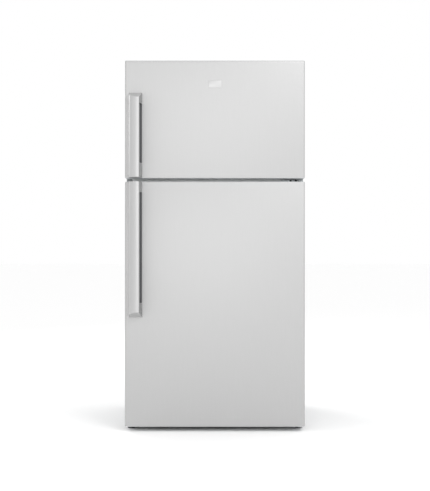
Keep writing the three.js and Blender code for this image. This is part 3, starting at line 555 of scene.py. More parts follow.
def doorHandle(prefix, upwards, foot, tip):
    v = inMetres(handleParts)
    node = f"{prefix}_door_handle"
    low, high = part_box(node)
    bm = bmesh.new()
    front = high.x - v["lean"]
    outline = [(low.x, high.y), (high.x, high.y), (high.x, high.y - v["base"]), (front, low.y),
               (low.x, low.y)]
    addProfile(bm, outline, low.z, high.z, "z")
    far, inward = (high.z, -1) if upwards else (low.z, 1)
    for vert in bm.verts:  # the far end slopes down to the door
        if at(vert.co.z, far) and vert.co.y < high.y - v["base"] - 1e-5:
            vert.co.z += inward * v["taper"]
    for x, radius, segments in ((low.x, "leftRadius", 16), (front, "rightRadius", 5)):
        edges = [e for e in bm.edges if all(at(p.co.x, x) and at(p.co.y, low.y) for p in e.verts)]
        roundEdges(bm, edges, handleParts[radius], segments)
    footZ, tipZ = (low.z + mm(foot), high.z - mm(tip)) if upwards else (high.z - mm(foot), low.z + mm(tip))
    start, end = sorted((footZ, tipZ))
    cutAt(bm, "z", start)
    cutAt(bm, "z", end)
    bm.normal_update()
    flank = [f for f in bm.faces
             if f.normal.x > 0.9 and f.normal.y < -0.05 and start < centreOf(f).z < end
             and f.calc_area() > (end - start) * 0.02]
    bmesh.ops.inset_region(bm, faces=flank, thickness=v["lip"], use_even_offset=True)
    pocket = newVerts(bmesh.ops.extrude_face_region(bm, geom=flank))
    for vert in pocket:
        nearDoor = vert.co.y > (low.y + high.y) / 2
        vert.co.x = low.x + v["wall"]
        vert.co.y = high.y - v["base"] if nearDoor else low.y + v["grip"]
        vert.co.z += v["seat"] * (1 if vert.co.z < (start + end) / 2 else -1)
    bmesh.ops.delete(bm, geom=[f for f in flank if f.is_valid], context="FACES_ONLY")
    # The pocket's faces take that dark grey: painted shade in the recess.
    for face in {f for vert in pocket for f in vert.link_faces}:
        face.material_index = 1
    bm.normal_update()
    # The right side takes the darker flank finish: painted shade, the same alloy as the rest of the handle.
    for face in bm.faces:  # the shaded right side
        if face.material_index == 0 and face.normal.x > 0.8 and centreOf(face).x > low.x + v["wall"]:
            face.material_index = 2
    piece = makePiece(bm, f"{prefix}_door_grip", f"{prefix}_door", "handleSteel", "pocket", "paintedShadeFlankSteel",
                      replaces=node, sharp=40)
    ease = piece.modifiers.new("eased edges", "BEVEL")
    ease.width, ease.segments, ease.limit_method, ease.angle_limit = v["edge"], 2, "ANGLE", radians(40)


badgeValues = {
    "width": 60, "height": 34, "thickness": 1.2, "drop": 110, "sunk": 0.2, "corner": 4, "edge": 0.6,
}


def blankBadge():
    v = inMetres(badgeValues)
    low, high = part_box("freezer_door_panel")
    centre = Vector((0, low.y, high.z - v["drop"]))
    half = Vector((v["width"] / 2, 0, v["height"] / 2))
    bm = boxed(centre - half - Vector((0, v["thickness"], 0)), centre + half + Vector((0, v["sunk"], 0)))
    roundEdges(bm, parallel(bm.edges, "y"), badgeValues["corner"], 5)
    roundEdges(bm, [e for e in bm.edges if at(middle(e).y, low.y - v["thickness"])], badgeValues["edge"])
    makePiece(bm, "blank_badge", "freezer_door", "handleSteel", sharp=20)


doorPanel("freezer", True)
doorPanel("fridge", False)
doorHandle("freezer", True, foot=65, tip=50)
doorHandle("fridge", False, foot=46, tip=67)
blankBadge()
print("stage: door panels, handles and badge")

# The cabinet's outer skin: two sides and a top folded from one sheet, with a flange round the front.
shellValues = {"fold": 2.5, "sheet": 0.9, "flange": 26}


def outerSkin():
    low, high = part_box("outer_shell")
    flange = mm(shellValues["flange"])
    bm = boxed(low, high)
    removeFaces(bm, lambda f: f.normal.z < -0.9 or f.normal.y > 0.9)
    folds = [e for e in parallel(bm.edges, "y") if at(middle(e).z, high.z)]
    roundEdges(bm, folds, shellValues["fold"], 5)
    for axis, level in (("x", low.x + flange), ("x", high.x - flange), ("z", high.z - flange)):
        cutAt(bm, axis, level)

    def inOpening(face):
        centre = centreOf(face)
        inside = low.x + flange < centre.x < high.x - flange and centre.z < high.z - flange
        return face.normal.y < -0.9 and inside

    removeFaces(bm, inOpening)
    giveWall(bm, shellValues["sheet"])
    makePiece(bm, "outer_skin", "cabinet", "enamel", replaces="outer_shell", turnOut=False)


rearValues = {
    "columns": 3, "rows": 4, "margin": 55, "gap": 30, "slope": 5, "rise": 4.5, "ease": 2, "sheet": 0.8,
    "screwEdge": 14, "sideScrews": 5,
}


def rearSheet():
    # Pressed panels stiffen the sheet; screws hold its edge to the cabinet.
    v = rearValues
    low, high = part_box("rear_panel")
    margin, edge = mm(v["margin"]), mm(v["screwEdge"])
    bm = boxed(low, high)
    removeFaces(bm, lambda f: f.normal.y < 0.9)
    xs = spread(low.x + margin, high.x - margin, v["columns"] + 1)
    zs = spread(low.z + margin, high.z - margin, v["rows"] + 1)
    for axis, levels in (("x", xs), ("z", zs)):
        for level in levels:
            cutAt(bm, axis, level)
    panes = [f for f in bm.faces if xs[0] < centreOf(f).x < xs[-1] and zs[0] < centreOf(f).z < zs[-1]]
    bmesh.ops.inset_individual(bm, faces=panes, thickness=mm(v["gap"]) / 2, use_even_offset=True)
    folds = {e for f in panes for e in f.edges}
    bmesh.ops.inset_individual(bm, faces=panes, thickness=mm(v["slope"]), use_even_offset=True)
    raised = {vert for f in panes for vert in f.verts}
    bmesh.ops.translate(bm, verts=list(raised), vec=(0, mm(v["rise"]), 0))
    folds |= {e for f in panes for e in f.edges}
    roundEdges(bm, folds, v["ease"], 2)
    giveWall(bm, v["sheet"])
    makePiece(bm, "rear_sheet", "cabinet", "zinc", replaces="rear_panel", turnOut=False)
    bottom, top = low.z + edge, high.z - edge
    places = [(x, high.y, z) for x in (low.x + edge, high.x - edge)
              for z in spread(bottom, top, v["sideScrews"] + 1)]
    places += [(x, high.y, z) for z in (bottom, top) for x in xs]
    screwSet("rear_panel_screws", places, (0, 1, 0))


# Bolts on the hinges; the two in the gap between the doors are blackened.
hingeScrews = {
    "leaf": 3.3,  # the leaf's thickness, with its clearance
    "top": [(352, -262), (352, -236), (384, -236)], "topHead": 5, "topHeight": 2.6,
    "centre": [355, 380], "centreScale": 1.15, "bottom": [350, 385], "bottomScale": 1.2, "bottomDrop": 12,
}


def hingeFixings():
    v = hingeScrews
    shellLow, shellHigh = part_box("outer_shell")
    front, top = shellLow.y - mm(v["leaf"]), shellHigh.z + mm(v["leaf"])
    centreZ = sum(corner.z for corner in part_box("centre_hinge")) / 2
    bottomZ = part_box("bottom_hinge")[1].z - mm(v["bottomDrop"])
    screwSet("centre_hinge_screws", [(mm(x), front, centreZ) for x in v["centre"]], (0, -1, 0),
             v["centreScale"], "blackOxide")
    screwSet("bottom_hinge_screws", [(mm(x), front, bottomZ) for x in v["bottom"]], (0, -1, 0),
             v["bottomScale"])
    bm = bmesh.new()
    for x, y in v["top"]:  # hexagon heads under the cover
        addRod(bm, (mm(x), mm(y), top), (mm(x), mm(y), top + mm(v["topHeight"])), v["topHead"], 6)
    makePiece(bm, "top_hinge_bolts", "cabinet", "screwZinc")


outerSkin()
rearSheet()
hingeFixings()
softenNode("mullion_trim", "paleEnamel")
softenNode("kick_grille", "kickAbs")
for node in ("cabinet_floor", "base_chassis", "top_hinge", "top_hinge_cover", "centre_hinge",
             "bottom_hinge"):
    softenNode(node)
print("stage: cabinet skin, rear sheet and hinges")

# Vacuum-formed tubs: generous inside corners, a flat rim behind the flange, and shelf ledges.
tubValues = {
    "half": 361, "wall": 1.5, "corner": 12, "nose": 3.5, "ledge": 8, "ledgeHeight": 6, "ledgeEdge": 2,
    "ledgeEnd": 14, "play": 0.4,
    "fridge": {"floor": 117, "ceiling": 1135, "humpFront": 129.5, "humpTop": 322},
    "freezer": {"floor": 1191, "ceiling": 1641},
}


def mouldedTub(prefix, shelves, thickness):
    v, space = tubValues, inMetres(tubValues[prefix])
    node = f"{prefix}_liner"
    low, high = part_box(node)
    half, back, play = mm(v["half"]), high.y - mm(v["wall"]), mm(v["play"])
    bottom, top = space["floor"], space["ceiling"]
    outline = [(low.y, bottom), (back, bottom), (back, top), (low.y, top)]
    if "humpFront" in space:
        step = (space["humpFront"], space["humpTop"])
        outline[1:2] = [(step[0], bottom), step, (back, step[1])]
    bm = bmesh.new()
    addProfile(bm, outline, -half, half)
    removeFaces(bm, lambda f: f.normal.y < -0.9 and at(centreOf(f).y, low.y))
    nose = [e for e in sharpEdges(bm.edges) if not e.is_convex]
    roundEdges(bm, nose, v["nose"], 4)  # small, so that the foam behind stays covered
    roundEdges(bm, sharpEdges(bm.edges, 80), v["corner"], 5)
    bmesh.ops.reverse_faces(bm, faces=bm.faces)  # the seen side faces into the space
    mouth = [e for e in bm.edges if e.is_boundary]
    rim = newVerts(bmesh.ops.extrude_edge_only(bm, edges=mouth))
    corner = mm(v["corner"] + 1)
    for vert in rim:  # out to a square rim, whose corners meet the flange
        if abs(vert.co.x) > half - corner:
            vert.co.x = high.x if vert.co.x > 0 else -high.x
        if vert.co.z > top - corner:
            vert.co.z = high.z
        elif vert.co.z < bottom + corner:
            vert.co.z = low.z
    bmesh.ops.remove_doubles(bm, verts=rim, dist=1e-6)
    giveWall(bm, v["wall"])
    makePiece(bm, f"{prefix}_tub", "cabinet", "liner", replaces=node, turnOut=False, sharp=50)
    ledges = bmesh.new()
    for shelf in shelves:
        shelfLow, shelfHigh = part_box(shelf)
        top = shelfHigh.z - mm(thickness)
        for side in (-1, 1):
            ends = sorted((side * (half - mm(v["ledge"])), side * (half + play)))
            addRoundBox(ledges, (ends[0], shelfLow.y, top - mm(v["ledgeHeight"])),
                        (ends[1], min(shelfHigh.y, back - mm(v["ledgeEnd"])), top - play), v["ledgeEdge"], 3)
    makePiece(ledges, f"{prefix}_shelf_ledges", "cabinet", "liner")


def addMitredFrame(bm, low, high, section, facing="y"):
    # Section points are (distance in from the outside, height), in mm, in order round the section.
    rise = "xyz".index(facing)
    centre = (low + high) / 2

    def settle(verts, inset, height):  # each vertex goes to its own corner
        for vert in verts:
            for axis in range(3):
                nearLow = vert.co[axis] < centre[axis]
                vert.co[axis] = low[axis] + mm(inset) if nearLow else high[axis] - mm(inset)
            vert.co[rise] = low[rise] + mm(height)

    flat = [axis for axis in range(3) if axis != rise]
    verts = []
    for first, second in ((low, low), (high, low), (high, high), (low, high)):
        place = low.copy()
        place[flat[0]], place[flat[1]] = first[flat[0]], second[flat[1]]
        verts.append(bm.verts.new(place))
    ring = [bm.edges.new((verts[i], verts[(i + 1) % 4])) for i in range(4)]
    settle(verts, *section[0])
    everything = list(verts)
    for inset, height in section[1:] + section[:1]:
        grown = newVerts(bmesh.ops.extrude_edge_only(bm, edges=ring))
        settle(grown, inset, height)
        ring = [e for e in {e for v in grown for e in v.link_edges} if all(v in grown for v in e.verts)]
        everything += grown
    bmesh.ops.remove_doubles(bm, verts=everything, dist=1e-6)


# Glass shelves: a pane held in a channel all round.
shelfParts = {
    "nodes": ["upper_shelf", "lower_shelf", "crisper_cover"], "thickness": 14, "channel": 13.4,
    "paneTop": 0.8, "pane": 4, "paneEdge": 0.7, "border": 18,
    "slots": {"crisper_cover": (-180.5, 180.5)}, "slotHalf": 30, "slotLevels": (4, 9),
    "section": [(1, 0), (0, 1), (0, 12.6), (1.4, 14), (17, 14), (18, 13.2), (13, 13.2), (13, 9.2),
                (18, 9.2), (18, 1), (17, 0)],
}


def glassShelf(node):
    v = shelfParts
    low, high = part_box(node)
    low.z = high.z - mm(v["thickness"])
    bm = bmesh.new()
    addMitredFrame(bm, low, high, v["section"], "z")
    bmesh.ops.recalc_face_normals(bm, faces=bm.faces)
    for x in v["slots"].get(node, ()):  # where a slider runs
        ends = (mm(x - v["slotHalf"]), mm(x + v["slotHalf"]))
        levels = [low.z + mm(z) for z in v["slotLevels"]]
        for axis, cuts in (("x", ends), ("z", levels)):
            for level in cuts:
                cutAt(bm, axis, level)

        def overSlot(face):
            centre = centreOf(face)
            inFront = centre.y < low.y + mm(v["border"] + 1)
            across = ends[0] < centre.x < ends[1] and levels[0] < centre.z < levels[1]
            return abs(face.normal.y) > 0.9 and inFront and across

        removeFaces(bm, overSlot)
        mouth = [e for e in bm.edges if e.is_boundary and middle(e).y < low.y + mm(1)]
        for vert in newVerts(bmesh.ops.extrude_edge_only(bm, edges=mouth)):
            vert.co.y = low.y + mm(v["border"])
        bmesh.ops.remove_doubles(bm, verts=bm.verts, dist=1e-6)
    makePiece(bm, f"{node}_border", "cabinet", "whiteTrim", replaces=node)
    inset = Vector((mm(v["channel"]), mm(v["channel"]), 0))
    top = high.z - mm(v["paneTop"])
    pane = boxed(Vector((low.x, low.y, top - mm(v["pane"]))) + inset, Vector((high.x, high.y, top)) - inset)
    roundEdges(pane, pane.edges, v["paneEdge"], 2)
    makePiece(pane, f"{node}_pane", "cabinet", "glass")


railParts = {"wall": 3, "play": 2, "reach": 7, "end": 10, "edge": 0.6}


def deliRails():
    # Angles under the lower shelf, which the deli drawer slides on.
    v = inMetres(railParts)
    low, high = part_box("deli_drawer")
    shelfLow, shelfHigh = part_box("lower_shelf")
    foot, top = shelfLow.z, shelfHigh.z - mm(shelfParts["thickness"])
    bm = bmesh.new()
    for side, edge in ((-1, low.x), (1, high.x)):
        inner = edge + side * v["play"]
        outer, lip, upper = inner + side * v["wall"], inner - side * v["reach"], foot + v["wall"]
        outline = [(outer, foot), (outer, top), (inner, top), (inner, upper), (lip, upper), (lip, foot)]
        addRoundProfile(bm, outline, shelfLow.y + v["end"], high.y - v["end"], railParts["edge"], "y")
    makePiece(bm, "deli_drawer_rails", "cabinet", "whiteTrim")


rackParts = {
    "thickness": 8, "frameWire": 6, "wire": 3.2, "pitch": 21, "stay": 4.5, "stays": 4, "weld": 0.4,
    "corner": 14,
}


def wireRack():
    v = rackParts
    low, high = (corner * 1000 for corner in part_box("freezer_shelf"))
    mid, edge = (low.z + high.z) / 2, v["frameWire"] / 2
    x0, x1, y0, y1 = low.x + edge, high.x - edge, low.y + edge, high.y - edge
    half = (y0 + y1) / 2
    loop = [(x0, half), (x0, y0), (x1, y0), (x1, y1), (x0, y1), (x0, half - 1)]
    makeWires("freezer_rack_frame", "cabinet", [roundedRoute([(x, y, mid) for x, y in loop], v["corner"])],
              v["frameWire"], "wireCoat", "freezer_shelf", 3)
    top = high.z - v["wire"] / 2
    bars = [[point(x, y, top) for y in (y0, y1)] for x in cells(x0, x1, int((x1 - x0) / v["pitch"]))]
    makeWires("freezer_rack_wires", "cabinet", bars, v["wire"], "wireCoat")
    under = top - (v["wire"] + v["stay"]) / 2 + v["weld"]
    stays = [[point(x, y, under) for x in (x0, x1)] for y in spread(y0, y1, v["stays"] + 2)[1:-1]]
    makeWires("freezer_rack_stays", "cabinet", stays, v["stay"], "wireCoat")


for node in shelfParts["nodes"]:
    glassShelf(node)
deliRails()
mouldedTub("fridge", shelfParts["nodes"], shelfParts["thickness"])
mouldedTub("freezer", ["freezer_shelf"], rackParts["thickness"])
wireRack()
print("stage: tubs, shelves and rack")

# Moulded trays: round corners, a drafted wall and a rolled rim.
trayKinds = {
    "crisper": {"corner": 16, "foot": 10, "wall": 2.2, "rim": 2.5, "roll": 5, "draft": 3},
    "bin": {"corner": 14, "foot": 9, "wall": 2.2, "rim": 2.5, "roll": 4, "draft": 3},
    "small": {"corner": 9, "foot": 6, "wall": 1.8, "rim": 1.8, "roll": 3, "draft": 2},
    "dairy": {"corner": 3, "foot": 5, "wall": 2.2, "rim": 0, "roll": 0, "draft": 0},
    "pan": {"corner": 12, "foot": 7, "wall": 1.8, "rim": 2, "roll": 3, "draft": 4},
}


def trayShell(low, high, kind, frontHeight=None):
    v = inMetres(trayKinds[kind])
    rim = Vector((v["rim"], v["rim"], 0))
    low, high = Vector(low) + rim, Vector(high) - rim
    centre, half = (low + high) / 2, (high - low) / 2
    bm = boxed(low, high)
    removeFaces(bm, lambda f: f.normal.z > 0.9)
    roundEdges(bm, parallel(bm.edges, "z"), trayKinds[kind]["corner"], 6)
    roundEdges(bm, [e for e in bm.edges if at(middle(e).z, low.z) and not e.is_boundary
                    and e.calc_face_angle(0) > 1], trayKinds[kind]["foot"], 4)
    if frontHeight:
        cutAt(bm, "z", low.z + frontHeight)
        removeFaces(bm, lambda f: f.normal.y > 0.5 and centreOf(f).z > low.z + frontHeight)
    for vert in bm.verts:
        inwards = v["draft"] * (high.z - vert.co.z) / (high.z - low.z)
        vert.co.x -= inwards * (vert.co.x - centre.x) / half.x
        vert.co.y -= inwards * (vert.co.y - centre.y) / half.y
    bmesh.ops.recalc_face_normals(bm, faces=bm.faces)
    if v["rim"]:
        for outwards, downwards in ((v["rim"], 0), (0, v["roll"])):
            edges = [e for e in bm.edges if e.is_boundary]
            for vert in newVerts(bmesh.ops.extrude_edge_only(bm, edges=edges)):
                vert.co.x += outwards * max(-1, min(1, (vert.co.x - centre.x) / half.x))
                vert.co.y += outwards * max(-1, min(1, (vert.co.y - centre.y) / half.y))
                vert.co.z -= downwards
        bmesh.ops.recalc_face_normals(bm, faces=bm.faces)
    floor = [f for f in bm.faces if at(centreOf(f).z, low.z, 1e-4)]
    if sum(f.normal.z * f.calc_area() for f in floor) > 0:
        bmesh.ops.reverse_faces(bm, faces=bm.faces)
    bmesh.ops.solidify(bm, geom=bm.faces[:], thickness=v["wall"])
    return bm


pullParts = {"reach": 8, "drop": 18, "plate": 4, "depth": 2.4, "fall": 12, "lip": 2.5, "edge": 0.9}
drawerParts = {
    "pullShare": 0.4, "ribHalf": 2, "ribRise": 2.5, "ribSunk": 0.5, "ribInset": 30, "ribEdge": 1.2,
    "stripFront": 0.2, "stripBack": 3.2, "stripFoot": 18, "stripTop": 6, "stripEdge": 1.2,
}


def addPull(bm, low, high):
    # A finger lip along the top of a drawer's front; low and high are the drawer's box.
    v = inMetres(pullParts)
    top = high.z - v["drop"]
    back, lip = low.y + v["reach"] + v["depth"], low.y + v["lip"]
    outline = [(back, top), (low.y, top), (low.y, top - v["fall"]), (lip, top - v["fall"]),
               (lip, top - v["plate"]), (back, top - v["plate"])]
    half, centre = (high.x - low.x) * drawerParts["pullShare"], (low.x + high.x) / 2
    addRoundProfile(bm, outline, centre - half, centre + half, pullParts["edge"])


def slidingDrawer(node, kind, ribs):
    v = inMetres(drawerParts)
    low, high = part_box(node)
    front = Vector((low.x, low.y + mm(pullParts["reach"]), low.z))
    bm = trayShell(front, high, kind)
    floor = low.z + mm(trayKinds[kind]["wall"])
    for x in spread(low.x, high.x, ribs + 2)[1:-1]:  # ribs that keep food off the floor
        addRoundBox(bm, (x - v["ribHalf"], front.y + v["ribInset"], floor - v["ribSunk"]),
                    (x + v["ribHalf"], high.y - v["ribInset"], floor + v["ribRise"]), drawerParts["ribEdge"])
    makePiece(bm, f"{node}_tray", bodyOf[node], "clear", replaces=node)
    trim = bmesh.new()
    addPull(trim, low, high)
    side = (high.x - low.x) / 2 - mm(trayKinds[kind]["corner"] + 3)
    centre = (low.x + high.x) / 2
    addRoundBox(trim, (centre - side, front.y + v["stripFront"], high.z - v["stripFoot"]),
                (centre + side, front.y + v["stripBack"], high.z - v["stripTop"]), drawerParts["stripEdge"])
    makePiece(trim, f"{node}_pull", bodyOf[node], "whiteTrim")


for node, kind, ribs in (("left_crisper", "crisper", 7), ("right_crisper", "crisper", 7),
                         ("deli_drawer", "small", 6), ("ice_bin", "small", 2)):
    slidingDrawer(node, kind, ribs)

binParts = {
    "lugIn": 3, "lugOut": 1.6, "lugFrom": 8, "lugTo": 30, "lugFoot": 46, "lugTop": 14,
    "bandBack": 3.2, "bandFront": 0.2, "bandFoot": 22, "bandTop": 6, "bandInset": 20, "edge": 1.2,
}


def doorBin(node):
    # A clear bin with a white band along its front and lugs that hook on the door's liner.
    v, edge = inMetres(binParts), binParts["edge"]
    low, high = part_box(node)
    bm = trayShell(low, high, "bin")
    for side in (-1, 1):
        x = sorted((side * (high.x - v["lugIn"]), side * (high.x + v["lugOut"])))
        addRoundBox(bm, (x[0], low.y + v["lugFrom"], high.z - v["lugFoot"]),
                    (x[1], low.y + v["lugTo"], high.z - v["lugTop"]), edge)
    makePiece(bm, f"{node}_tray", bodyOf[node], "clear", replaces=node)
    band = bmesh.new()
    addRoundBox(band, (low.x + v["bandInset"], high.y - v["bandBack"], high.z - v["bandFoot"]),
                (high.x - v["bandInset"], high.y - v["bandFront"], high.z - v["bandTop"]), edge, 3)
    makePiece(band, f"{node}_band", bodyOf[node], "whiteTrim")


for node in ("freezer_door_lower_bin", "freezer_door_upper_bin", "fridge_door_lower_bin",
             "fridge_door_middle_bin", "fridge_door_upper_bin"):
    doorBin(node)

dairyParts = {
    "front": 66, "side": 3.6, "lidTop": 3.2, "lidFront": 2.5, "chamfer": 4, "bend": 1, "bendUp": 1.5,
    "edge": 0.8, "pin": 3, "pinBack": 5, "pinUp": 3, "pinIn": 16, "tabHalf": 50, "tabIn": 1, "tabOut": 5,
    "tabFoot": 0.3, "tabTop": 3.2, "tabEdge": 1,
}


def dairyCompartment():
    v = inMetres(dairyParts)
    tray = trayShell(*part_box("dairy_box"), "dairy", v["front"])
    makePiece(tray, "dairy_tray", "fridge_door", "clear", replaces="dairy_box")
    low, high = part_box("dairy_lid")
    half = high.x - v["side"]
    top, front = high.z, high.y
    inside, under = front - v["lidFront"], top - v["lidTop"]
    outline = [(low.y, top), (front - v["chamfer"], top), (front, top - v["chamfer"]), (front, low.z),
               (inside, low.z), (inside, under - v["bend"]), (inside - v["bendUp"], under), (low.y, under)]
    bm = bmesh.new()
    addRoundProfile(bm, outline, -half, half, dairyParts["edge"])
    for side in (-1, 1):
        y, z = low.y + v["pinBack"], top - v["pinUp"]
        addRod(bm, (side * (half - v["pinIn"]), y, z), (side * high.x, y, z), dairyParts["pin"], 16)
    addRoundBox(bm, (-v["tabHalf"], front - v["tabIn"], low.z + v["tabFoot"]),
                (v["tabHalf"], front + v["tabOut"], low.z + v["tabTop"]), dairyParts["tabEdge"])
    makePiece(bm, "dairy_cover", bodyOf["dairy_lid"], "clear", replaces="dairy_lid")


dairyCompartment()
print("stage: drawers and bins")

# Inside of the doors: formed liners and magnetic seals.
sealSection = [(3, 0), (15, 0), (15, 1.5), (17.4, 3.2), (15, 5.2), (17.8, 7.2), (18, 8.4), (18, 12),
               (17, 12.4), (1, 12.4), (0, 12), (0, 8.4), (0.2, 7.2), (3, 5.2), (0.6, 3.2), (3, 1.5)]
dykeParts = {"corner": 12, "rim": 7, "sheetEdge": 3}


def insideOfDoor(prefix):
    v = dykeParts
    node = f"{prefix}_door_liner"
    low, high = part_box(node)
    bm = mergedCopy(node)
    raised = [e for e in parallel(bm.edges, "y") if middle(e).y > low.y + mm(v["sheetEdge"])]
    roundEdges(bm, raised, v["corner"], 5)
    rim = [e for e in sharpEdges(bm.edges) if at(middle(e).y, high.y, 1e-4)]
    roundEdges(bm, rim, v["rim"], 5)
    makePiece(bm, f"{prefix}_door_inside", f"{prefix}_door", "liner", replaces=node, turnOut=False)
    seal = bmesh.new()
    addMitredFrame(seal, *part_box(f"{prefix}_door_gasket"), sealSection)
    makePiece(seal, f"{prefix}_door_seal", f"{prefix}_door", "gasket", replaces=f"{prefix}_door_gasket",
              sharp=50)
    softenNode(f"{prefix}_door_top_cap")
    softenNode(f"{prefix}_door_bottom_cap")


insideOfDoor("freezer")
insideOfDoor("fridge")

# Controls: the knob has a skirt, a ribbed edge and a bar to turn it by, over a ring of raised dots.
knobParts = {
    "outline": [(0, 0.4), (17, 0.4), (17.6, 1.2), (17.6, 2.6), (15.6, 3.6), (14.6, 10.6), (13.4, 12),
                (0, 12.4)],
    "barHalf": 3, "barLength": 14, "barRise": 19, "barFoot": 11, "barEdge": 1.8, "shaft": 4,
    "shaftLength": 13, "ribs": 28, "ribRing": 15, "ribFrom": -4, "ribTo": -10, "rib": 0.7, "dots": 7,
    "dotRing": 24, "firstDot": 210, "lastDot": -30, "smallDot": 0.8, "dotGrowth": 0.12,
}


def controls():
    v = knobParts
    low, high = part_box("temperature_knob")
    centre = Vector(((low.x + high.x) / 2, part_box("control_housing")[0].y, (low.z + high.z) / 2))

    def onRing(radius, angle, y):
        return centre + point(radius * cos(angle), y, radius * sin(angle))

    bm = bmesh.new()
    addTurned(bm, v["outline"], centre, "y", 48)
    bmesh.ops.scale(bm, vec=(1, -1, 1), verts=bm.verts, space=Matrix.Translation(-centre))
    for i in range(v["ribs"]):
        angle = 2 * pi * i / v["ribs"]
        addRod(bm, onRing(v["ribRing"], angle, v["ribFrom"]), onRing(v["ribRing"], angle, v["ribTo"]),
               v["rib"], 6)
    addRoundBox(bm, centre - point(v["barHalf"], v["barRise"], v["barLength"]),
                centre + point(v["barHalf"], -v["barFoot"], v["barLength"]), v["barEdge"], 3)
    addRod(bm, centre + point(0, -1, 0), centre + point(0, v["shaftLength"], 0), v["shaft"], 16)
    makePiece(bm, "control_knob", bodyOf["temperature_knob"], "greyAbs", replaces="temperature_knob")
    dots = bmesh.new()
    for i, angle in enumerate(spread(radians(v["firstDot"]), radians(v["lastDot"]), v["dots"])):
        addRod(dots, onRing(v["dotRing"], angle, 0.3), onRing(v["dotRing"], angle, -0.5),
               v["smallDot"] + v["dotGrowth"] * i, 16)
    makePiece(dots, "control_scale", "cabinet", "blackPp")


lensParts = {
    "half": 57, "front": 61, "back": 139, "foot": 1, "top": 3, "edge": 1, "flutes": 18, "flute": 1.6,
    "fluteIn": 5, "fluteEnd": 3,
}


def lampLens():
    # Opal cover, fluted so that the lamp behind it doesn't show.
    v = inMetres(lensParts)
    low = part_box("control_housing")[0]
    front, back, level = low.y + v["front"], low.y + v["back"], low.z + v["foot"]
    bm = bmesh.new()
    addRoundBox(bm, (-v["half"], front, level), (v["half"], back, low.z + v["top"]), lensParts["edge"])
    reach = v["half"] - v["fluteIn"]
    for x in spread(-reach, reach, lensParts["flutes"]):
        addRod(bm, (x, front + v["fluteEnd"], level), (x, back - v["fluteEnd"], level),
               lensParts["flute"], 10)
    makePiece(bm, "lamp_lens", "cabinet", "opal")


sliderParts = {"edge": 0.8, "grip": 0.9, "gripStep": 4, "gripEnd": 3}


def slider():
    v = sliderParts
    bm = mergedCopy("humidity_slider")
    roundEdges(bm, sharpEdges(bm.edges), v["edge"], 2)
    low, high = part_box("humidity_slider")
    for i in (-1, 0, 1):
        x = (low.x + high.x) / 2 + mm(v["gripStep"] * i)
        addRod(bm, (x, low.y, low.z + mm(v["gripEnd"])), (x, low.y, high.z - mm(v["gripEnd"])), v["grip"], 8)
    makePiece(bm, "humidity_thumb", bodyOf["humidity_slider"], "greyAbs", replaces="humidity_slider",
              turnOut=False)


controls()
lampLens()
softenNode("control_housing", segments=4)
slider()

iceParts = {
    "axisDrop": 15, "across": 47.3, "foot": 13.5, "top": 10, "end": 10, "rows": 6, "divider": 1.6,
    "edge": 0.6,
}


def iceMaker():
    # Two rows of pockets between thin dividers; the whole tray twists to drop the cubes.
    v = inMetres(iceParts)
    low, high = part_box("ice_tray")
    frameLow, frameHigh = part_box("ice_maker_frame")
    x, axis, thin = (low.x + high.x) / 2, high.z - v["axisDrop"], v["divider"] / 2
    front, back = frameLow.y + v["end"], frameHigh.y - v["end"]
    bottom, top = axis - v["foot"], axis + v["top"]
    bm = bmesh.new()
    addRoundBox(bm, (x - thin, front, bottom), (x + thin, back, top), iceParts["edge"])
    for y in spread(front, back, iceParts["rows"] + 1)[1:-1]:
        addRoundBox(bm, (x - v["across"], y - thin, bottom), (x + v["across"], y + thin, top),
                    iceParts["edge"])
    makePiece(bm, "ice_tray_pockets", bodyOf["ice_tray"], "whiteTrim")


softenNode("ice_tray")
softenNode("ice_maker_frame")
iceMaker()
print("stage: doors' insides, controls and ice maker")

# Cooling: fans, coils, compressor and their pipes.
fanKinds = {
    "evaporator_fan": {"axis": "y", "hub": 17, "chord": 34, "shaft": 3.2},
    "condenser_fan": {"axis": "x", "hub": 24, "chord": 46, "shaft": 3.7},
}
bladeValues = {
    "blades": 5, "pitch": 42, "twist": 14, "bow": 5, "back": 2, "thickness": 1.4, "rootShare": 0.75,
    "sunk": 2,
}


def fanWheel(node):
    # The blades are pitched more at the hub than at the tip, and bowed across their width.
    v, blade = fanKinds[node], bladeValues
    low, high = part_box(node)
    centre = (low + high) / 2
    across = "xyz".index(v["axis"])
    depth = (high - low)[across] / 2
    radius = max(high.z - centre.z, (high - low)[1 - across] / 2)
    root = mm(v["hub"] - blade["sunk"])
    bm = bmesh.new()
    for i in range(blade["blades"]):
        grid = bmesh.ops.create_grid(bm, x_segments=8, y_segments=5, size=0.5)["verts"]
        for vert in grid:
            out, along = vert.co.x + 0.5, vert.co.y
            r = root + (radius - root) * out
            chord = mm(v["chord"]) * (blade["rootShare"] + (1 - blade["rootShare"]) * out) * along
            tilt = radians(blade["pitch"] - blade["twist"] * out)
            bow = mm(blade["bow"]) * (1 - 4 * along * along)
            turn = chord * cos(tilt) / r + 2 * pi * i / blade["blades"]
            height = max(-depth, min(depth, chord * sin(tilt) + bow - mm(blade["back"])))
            vert.co = (r * cos(turn), r * sin(turn), height)
        faces = list({f for vert in grid for f in vert.link_faces})
        bmesh.ops.solidify(bm, geom=faces, thickness=mm(blade["thickness"]))
    bmesh.ops.transform(bm, verts=bm.verts, matrix=Matrix.Translation(centre) @ turns[v["axis"]])
    d, hub, bore = depth * 1000, v["hub"], v["shaft"]
    outline = [(bore, -d), (hub - 2, -d), (hub, 2 - d), (hub, d - 2), (hub - 2, d), (bore, d), (bore, -d)]
    addTurned(bm, outline, centre, v["axis"], 32)
    makePiece(bm, f"{node}_wheel", bodyOf[node], "blackPp", replaces=node, turnOut=False)


for node in fanKinds:
    fanWheel(node)
for node in ("condenser_fan_motor", "machine_cover", "evaporator_cover"):
    softenNode(node)

